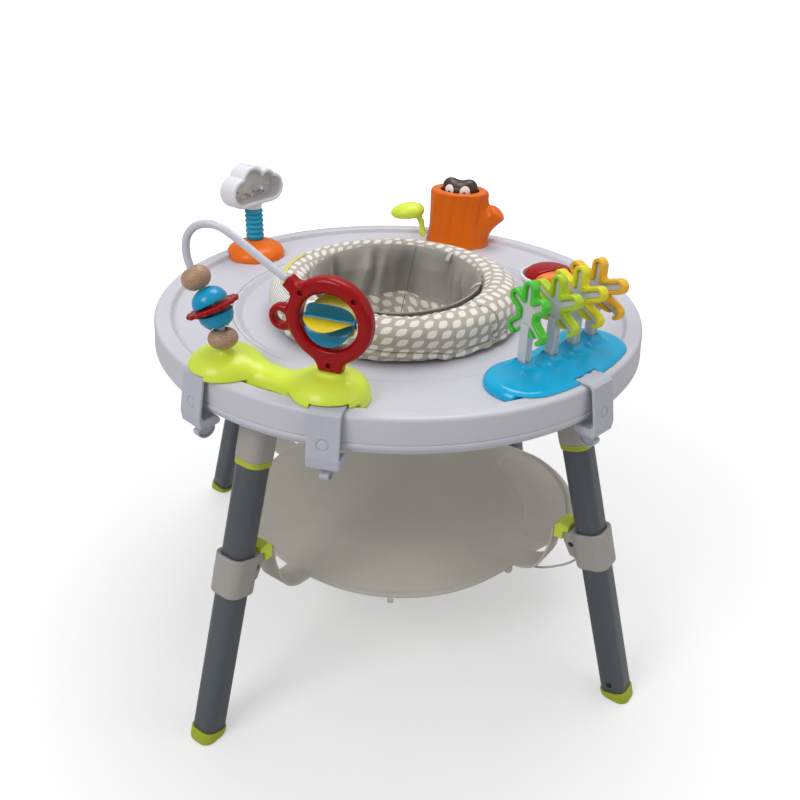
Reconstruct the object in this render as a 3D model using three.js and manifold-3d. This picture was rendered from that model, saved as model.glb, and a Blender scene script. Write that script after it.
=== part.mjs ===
// Activity jumper: a round play tray on four splayed legs, with a rotating
// padded seat in the middle, a sprung foot platform below it and toys round
// the rim.  Millimetres, +Z up, floor at z = 0, origin on the floor under the
// centre of the tray, front towards -Y.  Azimuths are degrees from +X.
import * as THREE from 'three';
import { mergeVertices } from 'three/addons/utils/BufferGeometryUtils.js';
import Module from 'manifold-3d';

const wasm = await Module();
wasm.setup();

// ---- driving dimensions -------------------------------------------------
const GAP = 0.3;                 // clearance between fixed neighbours
const RING_SEGMENTS = 40;        // facets round the big rings
const TRAY_TOP = 516;            // rim height above the floor
const TRAY_FLOOR = 508;          // play surface height
const TRAY_BOTTOM = 469.3;       // bottom edge of the skirt
const TRAY_WALL = 3;
const RIM_INNER_R = 321;         // inner edge of the flat rim
const RECESS_R = 238.2;          // wall of the recess that holds the seat ring
const LEDGE_R = 224;             // inner edge of the ledge
const LEDGE_TOP = 496;           // ledge the seat ring turns on
const LEDGE_UNDER = LEDGE_TOP - TRAY_WALL;
const SEAT_RING_R = 236.5;
const SEAT_FLOOR = 500;          // seat ring floor height
const SEAT_CENTRE = [-6, -5];    // pad and liner, x and y
const TOY_Z = TRAY_FLOOR + GAP;  // underside of every toy base
const LEG_AZ = { fl: -126.06, fr: -36.06, br: 53.94, bl: 143.94 };
const CLIP_AZ = {
  bead_left: -133.4, bead_right: -102.8, tree: -45.2, cloud: 141, stump: 70.5,
};
const CLIP_WIDTH = 42;

const DEG = Math.PI / 180;
const WELD_TOLERANCE = 1e-3;

const COLOUR = {
  tray: 0xd7d4de, ring: 0xd9d6de, charcoal: 0x4b5055, socket: 0xa09e96, lime: 0xc6dc3c,
  platform: 0xa5a098, pad: 0xb9aca0, liner: 0x96928c, clip: 0xc4c2cc, white: 0xe6e6ea,
  wood: 0xb48c69, blue: 0x0a9cc8, red: 0xb4181c, yellow: 0xe8d24a, orange: 0xf06e1e,
  teal: 0x28a0be, brown: 0x4a3026, green: 0x50c832, olive: 0xc8dc32, gold: 0xe6dc28,
  amber: 0xf0b428, lens: 0xc8c8c8,
};

const root = new THREE.Group();
root.name = 'activity_jumper';

// ---- meshes and solids --------------------------------------------------
function signedVolume(position, index) {
  const [first, second, third] = [0, 1, 2].map(() => new THREE.Vector3());
  let total = 0;
  for (let i = 0; i < index.length; i += 3) {
    first.fromBufferAttribute(position, index[i]);
    second.fromBufferAttribute(position, index[i + 1]);
    third.fromBufferAttribute(position, index[i + 2]);
    total += first.dot(second.cross(third)) / 6;
  }
  return total;
}

// welded copy with positions only, no collapsed triangles, facing outwards
function clean(source) {
  const bare = source.index ? source.toNonIndexed() : source.clone();
  for (const key of Object.keys(bare.attributes)) {
    if (key !== 'position') bare.deleteAttribute(key);
  }
  const welded = mergeVertices(bare, WELD_TOLERANCE);
  const corners = welded.index.array;
  const kept = [];
  for (let i = 0; i < corners.length; i += 3) {
    const [first, second, third] = corners.slice(i, i + 3);
    if (first !== second && second !== third && first !== third) {
      kept.push(first, second, third);
    }
  }
  if (signedVolume(welded.attributes.position, kept) < 0) {
    for (let i = 0; i < kept.length; i += 3) {
      [kept[i], kept[i + 1]] = [kept[i + 1], kept[i]];
    }
  }
  welded.setIndex(kept);
  return welded;
}

function toSolid(shape) {
  if (!shape.isBufferGeometry) return shape;
  const welded = clean(shape);
  return new wasm.Manifold(new wasm.Mesh({
    numProp: 3,
    vertProperties: new Float32Array(welded.attributes.position.array),
    triVerts: new Uint32Array(welded.index.array),
  }));
}

function toGeometry(solid) {
  const mesh = solid.getMesh();
  const geometry = new THREE.BufferGeometry();
  const positions = new Float32Array(mesh.vertProperties);
  geometry.setAttribute('position', new THREE.BufferAttribute(positions, 3));
  geometry.setIndex(new THREE.BufferAttribute(new Uint32Array(mesh.triVerts), 1));
  return geometry;
}

function join(...shapes) {
  return shapes.map(toSolid).reduce((sum, part) => sum.add(part));
}

function cut(body, ...tools) {
  return tools.map(toSolid).reduce((rest, tool) => rest.subtract(tool), toSolid(body));
}

function add(name, shape, { color, roughness }) {
  const geometry = shape.isBufferGeometry ? clean(shape) : toGeometry(shape);
  geometry.computeVertexNormals();
  const mesh = new THREE.Mesh(geometry, new THREE.MeshStandardMaterial({ color, roughness }));
  mesh.name = name;
  root.add(mesh);
  return mesh;
}

function place(mesh, position, turn) {
  mesh.position.set(...position);
  mesh.rotation.z = turn;
}

// ---- outlines, as lists of [x, y] ---------------------------------------
// both ends are included
function arcPoints(radius, from, to, steps, x = 0, y = 0) {
  return Array.from({ length: steps + 1 }, (_, i) => {
    const angle = from + (to - from) * i / steps;
    return [x + radius * Math.cos(angle), y + radius * Math.sin(angle)];
  });
}

function circlePoints(radius, count, x = 0, y = 0) {
  return Array.from({ length: count }, (_, i) => {
    const angle = i / count * 2 * Math.PI;
    return [x + radius * Math.cos(angle), y + radius * Math.sin(angle)];
  });
}

// centred rounded rectangle
function roundRect(width, height, radius, steps) {
  return [[1, 1], [-1, 1], [-1, -1], [1, -1]].flatMap(([signX, signY], quarter) => arcPoints(
    radius, quarter * Math.PI / 2, (quarter + 1) * Math.PI / 2, steps,
    signX * (width / 2 - radius), signY * (height / 2 - radius),
  ));
}

// ---- basic shapes -------------------------------------------------------
const toVectors = (points) => points.map(([x, y]) => new THREE.Vector2(x, y));

// profile [[radius, z], ...], closed back to its start and turned about z
function turned(profile, segments) {
  const points = toVectors([...profile, profile[0]]);
  return new THREE.LatheGeometry(points, segments).rotateX(Math.PI / 2);
}

function extruded(points, depth, holePoints) {
  const shape = new THREE.Shape(toVectors(points));
  if (holePoints) shape.holes.push(new THREE.Path(toVectors(holePoints)));
  return new THREE.ExtrudeGeometry(shape, { depth, steps: 1, bevelEnabled: false });
}

// upright outline [[x, z], ...], given a width along y and centred on y = 0
function section(points, width) {
  return extruded(points, width).rotateX(Math.PI / 2).translate(0, width / 2, 0);
}

function box(x0, x1, y0, y1, z0, z1) {
  return new THREE.BoxGeometry(x1 - x0, y1 - y0, z1 - z0)
    .translate((x0 + x1) / 2, (y0 + y1) / 2, (z0 + z1) / 2);
}

function rodAlongX(radius, length, segments) {
  return new THREE.CylinderGeometry(radius, radius, length, segments).rotateZ(Math.PI / 2);
}

function ellipsoid(radiusX, radiusY, radiusZ, around, rows) {
  return new THREE.SphereGeometry(1, around, rows)
    .rotateX(Math.PI / 2)
    .scale(radiusX, radiusY, radiusZ);
}

// swings a shape's y axis round to a unit direction
function pointedAlong(geometry, direction) {
  const swing = new THREE.Quaternion().setFromUnitVectors(new THREE.Vector3(0, 1, 0), direction);
  return geometry.applyQuaternion(swing);
}

// ---- tray ---------------------------------------------------------------
// [radius, z]
const TRAY_PROFILE = [
  [LEDGE_R, LEDGE_UNDER], [241, LEDGE_UNDER], [241, TRAY_FLOOR - TRAY_WALL],
  [320, TRAY_FLOOR - TRAY_WALL], [323.5, TRAY_TOP - TRAY_WALL], [340, TRAY_TOP - TRAY_WALL],
  [342.3, 480], [338, TRAY_BOTTOM], [341, TRAY_BOTTOM], [345.5, 480], [343.5, 512],
  [339, TRAY_TOP], [RIM_INNER_R, TRAY_TOP], [318, TRAY_FLOOR], [RECESS_R, TRAY_FLOOR],
  [RECESS_R, LEDGE_TOP], [LEDGE_R, LEDGE_TOP],
];
add('tray', turned(TRAY_PROFILE, RING_SEGMENTS), { color: COLOUR.tray, roughness: 0.42 });

// flat underside with an upstand to the ledge: [radius, z]
const LOWER_RING_PROFILE = [
  [226, TRAY_BOTTOM], [336.5, TRAY_BOTTOM], [336.5, TRAY_BOTTOM + TRAY_WALL],
  [229, TRAY_BOTTOM + TRAY_WALL], [229, LEDGE_UNDER - GAP], [226, LEDGE_UNDER - GAP],
];
add('tray_lower_ring', turned(LOWER_RING_PROFILE, RING_SEGMENTS),
  { color: COLOUR.tray, roughness: 0.45 });

// ---- seat ---------------------------------------------------------------
const SEAT_UNDER = LEDGE_TOP + GAP;
// [radius, z]; a thin rib hangs down just inside the ledge
const SEAT_RING_PROFILE = [
  [140, SEAT_UNDER], [219, SEAT_UNDER], [219, 488], [222, 488], [222, SEAT_UNDER],
  [SEAT_RING_R, SEAT_UNDER], [SEAT_RING_R, 507.5], [235, 507.5],
  [222, SEAT_FLOOR], [140, SEAT_FLOOR],
];
add('seat_ring', turned(SEAT_RING_PROFILE, RING_SEGMENTS),
  { color: COLOUR.ring, roughness: 0.45 });

// The opening is a rounded egg: longer front to back, and set back a little.
// weight(radius) is the share of that change a point takes.
function eggShaped(geometry, weight) {
  const position = geometry.attributes.position;
  for (let i = 0; i < position.count; i++) {
    const x = position.getX(i);
    const y = position.getY(i);
    const radius = Math.hypot(x, y);
    if (radius < 1e-6) continue;
    const angle = Math.atan2(y, x);
    const growth = 12 * Math.sin(angle) - 6.5 * Math.cos(2 * angle);
    const factor = 1 + weight(radius) * growth / radius;
    position.setXY(i, x * factor, y * factor);
  }
  return geometry;
}

const PAD_UNDER = SEAT_FLOOR + 2 * GAP;
const PAD_ROUND_R = 172;         // from here outwards the pad stays circular
const PAD_BLEND = 36;            // radial width over which the egg fades out
// [radius, z]
const PAD_PROFILE = [
  [138, PAD_UNDER], [178, PAD_UNDER], [182, 512], [181, 535], [172, 549], [158, 556],
  [145, 555], [134, 548], [131, 532], [133, 515],
];
const padWeight = (radius) => Math.min(1, Math.max(0, (PAD_ROUND_R - radius) / PAD_BLEND));
add('seat_pad', eggShaped(turned(PAD_PROFILE, 28), padWeight).translate(...SEAT_CENTRE, 0),
  { color: COLOUR.pad, roughness: 0.95 });

const LINER_R = 125.5;
const LEG_HOLES_AZ = [-52, -128];
// bucket, outside then inside: [radius, z]
const LINER_PROFILE = [
  [0, 390], [85, 400], [104, 430], [118, 480], [124.5, 520], [LINER_R, 548],
  [122.5, 548], [121.5, 520], [115, 481], [101, 432], [83, 403], [0, 393],
];
function seatLiner() {
  const bucket = eggShaped(turned(LINER_PROFILE, 24), (radius) => radius / LINER_R);
  const legHoles = LEG_HOLES_AZ.map(
    (azimuth) => rodAlongX(36, 120, 16).translate(95, 0, 438).rotateZ(azimuth * DEG),
  );
  return toGeometry(cut(bucket, ...legHoles)).translate(...SEAT_CENTRE, 0);
}
add('seat_liner', seatLiner(), { color: COLOUR.liner, roughness: 0.9 });

// ---- legs ---------------------------------------------------------------
// Modelled along +X, then turned to each azimuth.
const LEG_R_FLOOR = 421.2;       // leg axis radius at the floor
const LEG_R_TOP = 277.8;         // leg axis radius at LEG_RISE
const LEG_RISE = 469;
const LEG_TILT = Math.atan2(LEG_R_FLOOR - LEG_R_TOP, LEG_RISE);
const TUBE_WIDTH = 38;           // rounded square tube, across flats
const TUBE_CORNER = 13;
const TUBE_WALL = 2;

// rounded square prism between two distances up the leg axis
function legPrism(width, corner, from, to) {
  return extruded(roundRect(width, width, corner, 2), to - from)
    .translate(0, 0, from)
    .rotateY(-LEG_TILT)
    .translate(LEG_R_FLOOR, 0, 0);
}

// bore that clears the tube
const tubeBore = (from, to) => legPrism(TUBE_WIDTH + 2 * GAP, TUBE_CORNER, from, to);

// removes a leg part between two heights
const legTrim = (bottom, top) => box(200, 520, -60, 60, bottom, top);

function legSocket() {
  const top = TRAY_BOTTOM - GAP;
  return cut(legPrism(43, 15, 413, 510), tubeBore(400, 481), legTrim(top, top + 200));
}

function legTube() {
  return cut(legPrism(TUBE_WIDTH, TUBE_CORNER, 9, 480.5),
    legPrism(TUBE_WIDTH - 2 * TUBE_WALL, TUBE_CORNER - TUBE_WALL, 0, 500));
}

// web on the inner side of the bracket: [radius, z]
const BRACKET_WEB = [[333, 212], [319.5, 256], [306, 250], [306, 238], [322, 214]];
function legBracket() {
  return cut(join(legPrism(48, 15, 222.7, 278), section(BRACKET_WEB, 14)), tubeBore(200, 300));
}

function legFoot() {
  return cut(legPrism(41.5, 14.5, -20, 17), tubeBore(8.6, 30), legTrim(-200, 0));
}

// [radius, z]
const HOOK_SECTION = [
  [313, 254.6], [313, 262], [298, 264], [292, 257], [292, 238], [305.5, 238], [305.5, 251],
];

const LEG_PARTS = {
  leg_socket: [legSocket(), { color: COLOUR.socket, roughness: 0.5 }],
  leg_tube: [legTube(), { color: COLOUR.charcoal, roughness: 0.38 }],
  leg_bracket: [legBracket(), { color: COLOUR.socket, roughness: 0.5 }],
  leg_foot: [legFoot(), { color: COLOUR.lime, roughness: 0.5 }],
  platform_hook: [section(HOOK_SECTION, 30), { color: COLOUR.lime, roughness: 0.45 }],
};
for (const [corner, azimuth] of Object.entries(LEG_AZ)) {
  for (const [kind, [shape, finish]] of Object.entries(LEG_PARTS)) {
    add(`${kind}_${corner}`, shape, finish).rotation.z = azimuth * DEG;
  }
}

// ---- foot platform ------------------------------------------------------
const PLATFORM_Z = 160;          // underside
const PLATFORM_THICK = 5;
const PLATFORM_MID = PLATFORM_Z + PLATFORM_THICK / 2;
// [azimuth, radius]; a tongue reaches out towards +X
const PLATFORM_OUTLINE = [
  [-180, 236], [-165, 236], [-150, 234], [-135, 229], [-120, 229], [-105, 233],
  [-90, 236], [-75, 238], [-60, 238], [-48, 238], [-38, 242], [-31, 247],
  [-24, 262], [-17, 281], [-10, 292], [0, 297], [10, 298], [18, 295],
  [25, 290], [32, 280], [38, 270], [46, 255], [55, 244], [68, 239],
  [84, 237], [100, 236], [116, 236], [132, 236], [148, 236], [164, 236],
];
// centre line of a spring arm, from the disc up to just below the hook: [radius, z]
const ARM_LINE = [
  [218, PLATFORM_MID], [244, PLATFORM_MID], [264, 171], [280, 190], [290, 212], [296, 231],
];

// outline of a strip of even thickness along a line
function stripOutline(line, thickness) {
  const left = [];
  const right = [];
  line.forEach(([x, y], i) => {
    const before = line[Math.max(i - 1, 0)];
    const after = line[Math.min(i + 1, line.length - 1)];
    const alongX = after[0] - before[0];
    const alongY = after[1] - before[1];
    const length = Math.hypot(alongX, alongY);
    const offsetX = alongY / length * thickness / 2;
    const offsetY = alongX / length * thickness / 2;
    left.push([x - offsetX, y + offsetY]);
    right.push([x + offsetX, y - offsetY]);
  });
  return [...left, ...right.reverse()];
}

function footPlatform() {
  const outline = PLATFORM_OUTLINE.map(([azimuth, radius]) => [
    radius * Math.cos(azimuth * DEG), radius * Math.sin(azimuth * DEG),
  ]);
  const disc = extruded(outline, PLATFORM_THICK).translate(0, 0, PLATFORM_Z);
  const arms = Object.values(LEG_AZ).map(
    (azimuth) => section(stripOutline(ARM_LINE, 4), 44).rotateZ(azimuth * DEG),
  );
  return join(disc, ...arms);
}
add('foot_platform', footPlatform(), { color: COLOUR.platform, roughness: 0.55 });

// ---- rim clearance for the toy bases ------------------------------------
const CUT_BOTTOM = 495;
const CUT_TOP = TRAY_TOP + GAP + 0.1;
const rimTool = toSolid(turned(
  [[316.4, CUT_BOTTOM], [356, CUT_BOTTOM], [356, CUT_TOP], [316.4, CUT_TOP]], RING_SEGMENTS,
));

// clears the raised rim and the named clips
function rimTools(...clipNames) {
  const halfWidth = CLIP_WIDTH / 2 + 0.5;
  const clipTools = clipNames.map(
    (name) => box(322.4, 362, -halfWidth, halfWidth, CUT_BOTTOM, 521).rotateZ(CLIP_AZ[name] * DEG),
  );
  return [rimTool, ...clipTools];
}

// ---- bead toy base ------------------------------------------------------
const HUMP_LEFT = [-207, -229];
const HUMP_RIGHT = [-75, -284];
const HUMP_TOP = 543;
const WIRE_FOOT = [-204, -240];

function hump(radius, centre) {
  return turned([
    [0, TOY_Z], [radius - 1, TOY_Z], [radius, 516], [radius - 3, 524], [radius - 11, 533],
    [radius - 24, HUMP_TOP - 3], [12, HUMP_TOP], [0, HUMP_TOP],
  ], 20).translate(...centre, 0);
}

function beadBase() {
  const [from, to] = [HUMP_LEFT, HUMP_RIGHT].map(([x, y]) => Math.atan2(y, x));
  const waistOutline = [
    ...arcPoints(309, from, to, 6),
    ...arcPoints(272, from, to, 6).reverse(),
  ];
  const waist = extruded(waistOutline, 17).translate(0, 0, TOY_Z);
  const wireHole = turned([[0, 531], [5.2, 531], [5.2, 560], [0, 560]], 12)
    .translate(...WIRE_FOOT, 0);
  return cut(join(hump(45, HUMP_LEFT), hump(47, HUMP_RIGHT), waist),
    ...rimTools('bead_left', 'bead_right'), wireHole);
}
add('bead_base', beadBase(), { color: COLOUR.lime, roughness: 0.35 });

// ---- bead wire and beads ------------------------------------------------
const WIRE_R = 4.6;
// [x, y, z] from the left hump up, over and down to the spinner
const WIRE_POINTS = [
  [...WIRE_FOOT, 533], [...WIRE_FOOT, 550], [-205, -239.6, 565], [-209, -238.2, 582],
  [-215, -236.1, 598], [-222, -233.6, 612], [-231, -230.4, 628], [-237.5, -228.2, 642],
  [-241, -226.9, 658], [-238.5, -227.8, 676], [-229, -231.1, 689], [-214, -236.4, 695.5],
  [-198, -242, 694.5], [-180, -248.4, 685], [-162, -254.7, 673], [-143, -261.4, 660],
  [-121.3, -269.1, 646],
];
const wirePath = new THREE.CatmullRomCurve3(
  WIRE_POINTS.map((point) => new THREE.Vector3(...point)), false, 'centripetal',
);
add('bead_wire', new THREE.ExtrudeGeometry(new THREE.Shape(toVectors(circlePoints(WIRE_R, 8))),
  { steps: 36, bevelEnabled: false, extrudePath: wirePath }),
{ color: COLOUR.white, roughness: 0.35 });

const WIRE_SAMPLES = 800;
const CLIMB_SAMPLES = 420;       // only these are searched: the climbing part
const wireSamples = Array.from({ length: WIRE_SAMPLES + 1 },
  (_, i) => wirePath.getPoint(i / WIRE_SAMPLES));

// adds a bead at a height on the wire, its own z axis along the wire
function thread(name, height, geometry, finish) {
  const miss = (i) => Math.abs(wireSamples[i].z - height);
  let best = 0;
  for (let i = 0; i < CLIMB_SAMPLES; i++) if (miss(i) < miss(best)) best = i;
  const direction = wireSamples[best + 4].clone().sub(wireSamples[best - 4]).normalize();
  const mesh = add(name, geometry, finish);
  mesh.quaternion.setFromUnitVectors(new THREE.Vector3(0, 0, 1), direction);
  mesh.position.copy(wireSamples[best]);
}

const BEAD_HOLE_R = 6;
const BEAD_SEGMENTS = 12;
// [radius, z] about the bead's centre
const BEAD_BOTTOM = [
  [BEAD_HOLE_R, -11.5], [12, -11.5], [17, -6], [18, 0], [17, 6], [12, 11.5],
  [BEAD_HOLE_R, 11.5],
];
const PLANET_LOWER = [
  [BEAD_HOLE_R, -9.5], [12, -9.5], [18, -5], [21, 3], [21.5, 9], [BEAD_HOLE_R, 9],
];
const PLANET_UPPER = [
  [BEAD_HOLE_R, -7.8], [21.5, -7.8], [21, -1], [17.5, 5.8], [11.5, 9.8], [BEAD_HOLE_R, 10.4],
];
const BEAD_TOP = [
  [BEAD_HOLE_R, -12.8], [11, -12.8], [16, -7], [17.5, 0], [16, 7], [11, 12.8],
  [BEAD_HOLE_R, 12.8],
];

const DISC_TEETH = 16;
const DISC_THICK = 5;
// one tooth: [fraction of the tooth pitch, radius]
const DISC_TOOTH = [[0, 29.5], [0.3, 32.5], [0.55, 32.5], [0.85, 29.5]];
function planetDisc() {
  const outline = [];
  for (let i = 0; i < DISC_TEETH; i++) {
    for (const [fraction, radius] of DISC_TOOTH) {
      const angle = (i + fraction) / DISC_TEETH * 2 * Math.PI;
      outline.push([radius * Math.cos(angle), radius * Math.sin(angle)]);
    }
  }
  return extruded(outline, DISC_THICK, circlePoints(BEAD_HOLE_R, BEAD_SEGMENTS))
    .translate(0, 0, -DISC_THICK / 2);
}

const bead = (profile) => turned(profile, BEAD_SEGMENTS);
const WOOD = { color: COLOUR.wood, roughness: 0.6 };
const PLANET = { color: COLOUR.blue, roughness: 0.35 };
thread('bead_bottom', 559, bead(BEAD_BOTTOM), WOOD);
thread('planet_lower', 582.5, bead(PLANET_LOWER), PLANET);
thread('planet_disc', 596.5, planetDisc(), { color: COLOUR.red, roughness: 0.35 });
thread('planet_upper', 608, bead(PLANET_UPPER), PLANET);
thread('bead_top', 629.5, bead(BEAD_TOP), WOOD);

// ---- spinner ------------------------------------------------------------
// An upright ring with a loop below it, and a bladed hub on an axle inside.
const SPINNER_AT = [-73.5, -285.5, 606];
const SPINNER_TURN = -19.4 * DEG;
const SPINNER_THICK = 20;
const THROUGH = SPINNER_THICK + 20;  // depth of a cut right through the frame

function spinnerFrame() {
  const ring = section(circlePoints(51.5, 32), SPINNER_THICK);
  const opening = section(circlePoints(34.5, 28).map(([x, z]) => [x * 1.02, z * 0.96]), THROUGH);
  const loop = section(circlePoints(15.3, 16, -58.5, -6), 14);
  const loopHole = section(circlePoints(6.6, 12, -60, -6), THROUGH);
  const neck = section([[-13, -62], [13, -62], [17, -45], [-17, -45]], SPINNER_THICK);
  // socket that takes the end of the wire
  const toWire = new THREE.Vector3(-0.78, 0, 0.625).normalize();
  const alongWire = (geometry, distance) => pointedAlong(geometry, toWire)
    .translate(toWire.x * distance, 0, toWire.z * distance);
  const boss = alongWire(new THREE.CylinderGeometry(7.8, 10.5, 20, 12), 55);
  const bore = alongWire(new THREE.CylinderGeometry(5.8, 5.8, 30, 12), 73);
  return cut(join(ring, loop, neck, boss), opening, loopHole, bore, rodAlongX(2.6, 84, 10));
}

function spinnerBlades() {
  const vaneThick = 2.4;
  const vanes = [17, 77, 137].map((tilt) => extruded(circlePoints(30.5, 20), vaneThick)
    .translate(0, 0, -vaneThick / 2)
    .rotateX(tilt * DEG));
  return cut(join(rodAlongX(6.5, 62, 12), ...vanes), rodAlongX(2.7, 90, 10));
}

for (const [name, shape, finish] of [
  ['spinner_frame', spinnerFrame(), { color: COLOUR.red, roughness: 0.35 }],
  ['spinner_axle', rodAlongX(2.2, 82, 10), { color: COLOUR.white, roughness: 0.4 }],
  ['spinner_blades', spinnerBlades(), { color: COLOUR.yellow, roughness: 0.35 }],
]) place(add(name, shape, finish), SPINNER_AT, SPINNER_TURN);

// ---- tree toy -----------------------------------------------------------
// [x, y, half width, colour]
const TREES = [
  [154, -220, 31, COLOUR.green], [190, -196, 38.5, COLOUR.olive],
  [222, -164, 43, COLOUR.gold], [250, -134, 47, COLOUR.amber],
];
const TREE_TURN = -56 * DEG;
const TREE_Z = 529;              // bottom of the trunks
const TREE_BASE = { from: -57 * DEG, to: -29 * DEG, radius: 285, halfWidth: 52 };
// stepped plinth: [inset from the half width, bottom z, top z]
const TREE_LAYERS = [[1.5, TOY_Z, 517.4], [4, 517, 520], [12, 519.5, 522.4]];

// curved slot shape with round ends
function treeBaseOutline(inset) {
  const { from, to, radius } = TREE_BASE;
  const half = TREE_BASE.halfWidth - inset;
  const cap = (azimuth, start) => arcPoints(half, start, start + Math.PI, 6,
    radius * Math.cos(azimuth), radius * Math.sin(azimuth)).slice(1, -1);
  return [
    ...arcPoints(radius + half, from, to, 5),
    ...cap(to, to),
    ...arcPoints(radius - half, from, to, 5).reverse(),
    ...cap(from, from + Math.PI),
  ];
}

function treeBase() {
  const layers = TREE_LAYERS.map(([inset, bottom, top]) => (
    extruded(treeBaseOutline(inset), top - bottom).translate(0, 0, bottom)));
  const atTrees = (...limits) => TREES.map(([x, y]) => (
    box(...limits).rotateZ(TREE_TURN).translate(x, y, 0)));
  const collars = atTrees(-13, 13, -12, 12, 520, 533);
  const pockets = atTrees(-9.2, 9.2, -8.2, 8.2, TREE_Z - 2.5, 560);
  return cut(join(...layers, ...collars), ...rimTools('tree'), ...pockets);
}
add('tree_base', treeBase(), { color: COLOUR.blue, roughness: 0.3 });

// flat tree: a trunk, two tiers of foliage and a tip
function tree(width) {
  // right-hand half from the bottom up: [x, z]
  const half = [
    [7, 0], [7, 33], [13, 36], [0.6 * width, 35], [0.88 * width, 38], [width, 46],
    [0.9 * width, 54], [0.62 * width, 57.5], [17, 62], [0.62 * width, 67],
    [0.9 * width, 71.5], [width, 80], [0.88 * width, 88], [0.62 * width, 91],
    [13, 88], [12, 98], [7, 103.5], [0, 105],
  ];
  const mirrored = half.slice(0, -1).reverse().map(([x, z]) => [-x, z]);
  return section([...half, ...mirrored], 10);
}
TREES.forEach(([x, y, width, color], i) => {
  place(add(`tree_${i + 1}`, tree(width), { color, roughness: 0.35 }), [x, y, TREE_Z], TREE_TURN);
});

// ---- cloud toy ----------------------------------------------------------
const CLOUD = [-238, 192];
const CLOUD_TURN = 53 * DEG;
const CLOUD_Z = 592;             // origin height of the cloud
const CLOUD_THICK = 33;
const CLOUD_WALL = 6;
const STEM_BOTTOM = 535;
const STEM_TOP = 584;
const RIDGE_START = 537.5;
const RIDGE_PITCH = 7.6;

// [radius, z]
const DOME_PROFILE = [
  [0, TOY_Z], [45, TOY_Z], [46.5, 516], [41, 525], [29, 531], [20, 532.5], [0, 532.5],
];
const dome = turned(DOME_PROFILE, 24).translate(CLOUD[0], CLOUD[1] - 4, 0);
add('cloud_base', cut(dome, ...rimTools('cloud')), { color: COLOUR.orange, roughness: 0.35 });

function cloudStem() {
  const profile = [[0, STEM_BOTTOM], [8, STEM_BOTTOM], [8, RIDGE_START]];
  for (let i = 0; i < 6; i++) {
    const z = RIDGE_START + i * RIDGE_PITCH;
    profile.push([14.5, z + 1], [14.5, z + 5.2], [12.3, z + 6.4]);
  }
  profile.push([12.3, STEM_TOP], [0, STEM_TOP]);
  return turned(profile, 12).translate(...CLOUD, 0);
}
add('cloud_stem', cloudStem(), { color: COLOUR.teal, roughness: 0.5 });

// [x, z, radius]
const CLOUD_LOBES = [[-31, 24, 24], [32, 23.5, 22.5], [-10, 38.5, 25], [19, 35.5, 19.5]];

// upright cloud slab with its back face at backY; its front faces local -Y
function cloudSlab(inset, thickness, backY) {
  const lobes = CLOUD_LOBES.map(
    ([x, z, radius]) => extruded(circlePoints(radius - inset, 16, x, z), thickness),
  );
  const middle = extruded([[-31, inset], [32, inset + 1], [32, 30], [-31, 30]], thickness);
  return toGeometry(join(...lobes, middle)).rotateX(Math.PI / 2).translate(0, backY, 0);
}

function cloudFrame() {
  const back = CLOUD_THICK / 2;
  const shell = cloudSlab(0, CLOUD_THICK, back);
  const pocket = cloudSlab(CLOUD_WALL, CLOUD_THICK, back - CLOUD_WALL);
  const neck = turned([[0, -7.5], [14, -7.5], [14, 3], [0, 3]], 12);
  return cut(join(shell, neck), pocket);
}
place(add('cloud_frame', cloudFrame(), { color: COLOUR.white, roughness: 0.4 }),
  [...CLOUD, CLOUD_Z], CLOUD_TURN);
place(add('cloud_lens', cloudSlab(CLOUD_WALL + 0.4, 2.4, -CLOUD_THICK / 2 + 5.4),
  { color: COLOUR.lens, roughness: 0.1 }), [...CLOUD, CLOUD_Z], CLOUD_TURN);

// ---- tree stump toy -----------------------------------------------------
const STUMP = [96, 283];
const STUMP_TURN = -19.5 * DEG;
const STUMP_TOP = 600;

// turned shape squashed along y
const oval = (profile, segments) => turned(profile, segments).scale(1, 0.78, 1);

function stump() {
  const trunk = oval([
    [0, TOY_Z], [54, TOY_Z], [51, 520], [48.5, 545], [48, 598],
    [46.5, STUMP_TOP], [0, STUMP_TOP],
  ], 18);
  const well = oval([[0, 545], [32, 545], [32, 610], [0, 610]], 18);
  const branchDirection = new THREE.Vector3(1, 0, 1).normalize();
  const branch = pointedAlong(new THREE.CylinderGeometry(13.5, 16, 40, 12), branchDirection)
    .translate(56, 4, 554);
  const body = toGeometry(join(cut(trunk, well), cut(branch, well)))
    .rotateZ(STUMP_TURN)
    .translate(...STUMP, 0);
  return cut(body, ...rimTools('stump'));
}
add('stump', stump(), { color: COLOUR.orange, roughness: 0.5 });

function stumpAnimal() {
  const head = ellipsoid(28.5, 21, 19, 16, 8).translate(0, 0, STUMP_TOP);
  const neck = oval([[0, 562], [24, 562], [24, STUMP_TOP], [0, STUMP_TOP]], 16);
  const ears = [-18, 18].map((x) => ellipsoid(9, 8, 10, 10, 6).translate(x, 0, 612));
  return join(head, neck, ...ears);
}
place(add('stump_animal', stumpAnimal(), { color: COLOUR.brown, roughness: 0.5 }),
  [...STUMP, 0], STUMP_TURN);

const LEAF_Y = 270;
// [x, z]
const STALK_SECTION = [[31, 523], [40, 523], [39, 548], [34, 564], [22, 562], [31, 545]];
function leafLever() {
  const leaf = ellipsoid(28.5, 21, 11, 16, 6).translate(9, LEAF_Y, 563);
  const stalk = section(STALK_SECTION, 9).translate(0, LEAF_Y, 0);
  const knuckle = new THREE.CylinderGeometry(5.5, 5.5, 16, 12).translate(35.5, LEAF_Y, 527);
  return join(leaf, stalk, knuckle);
}
add('leaf_lever', leafLever(), { color: COLOUR.lime, roughness: 0.4 });

// ---- drum toy -----------------------------------------------------------
const CUP = [227, 73.5];
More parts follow.
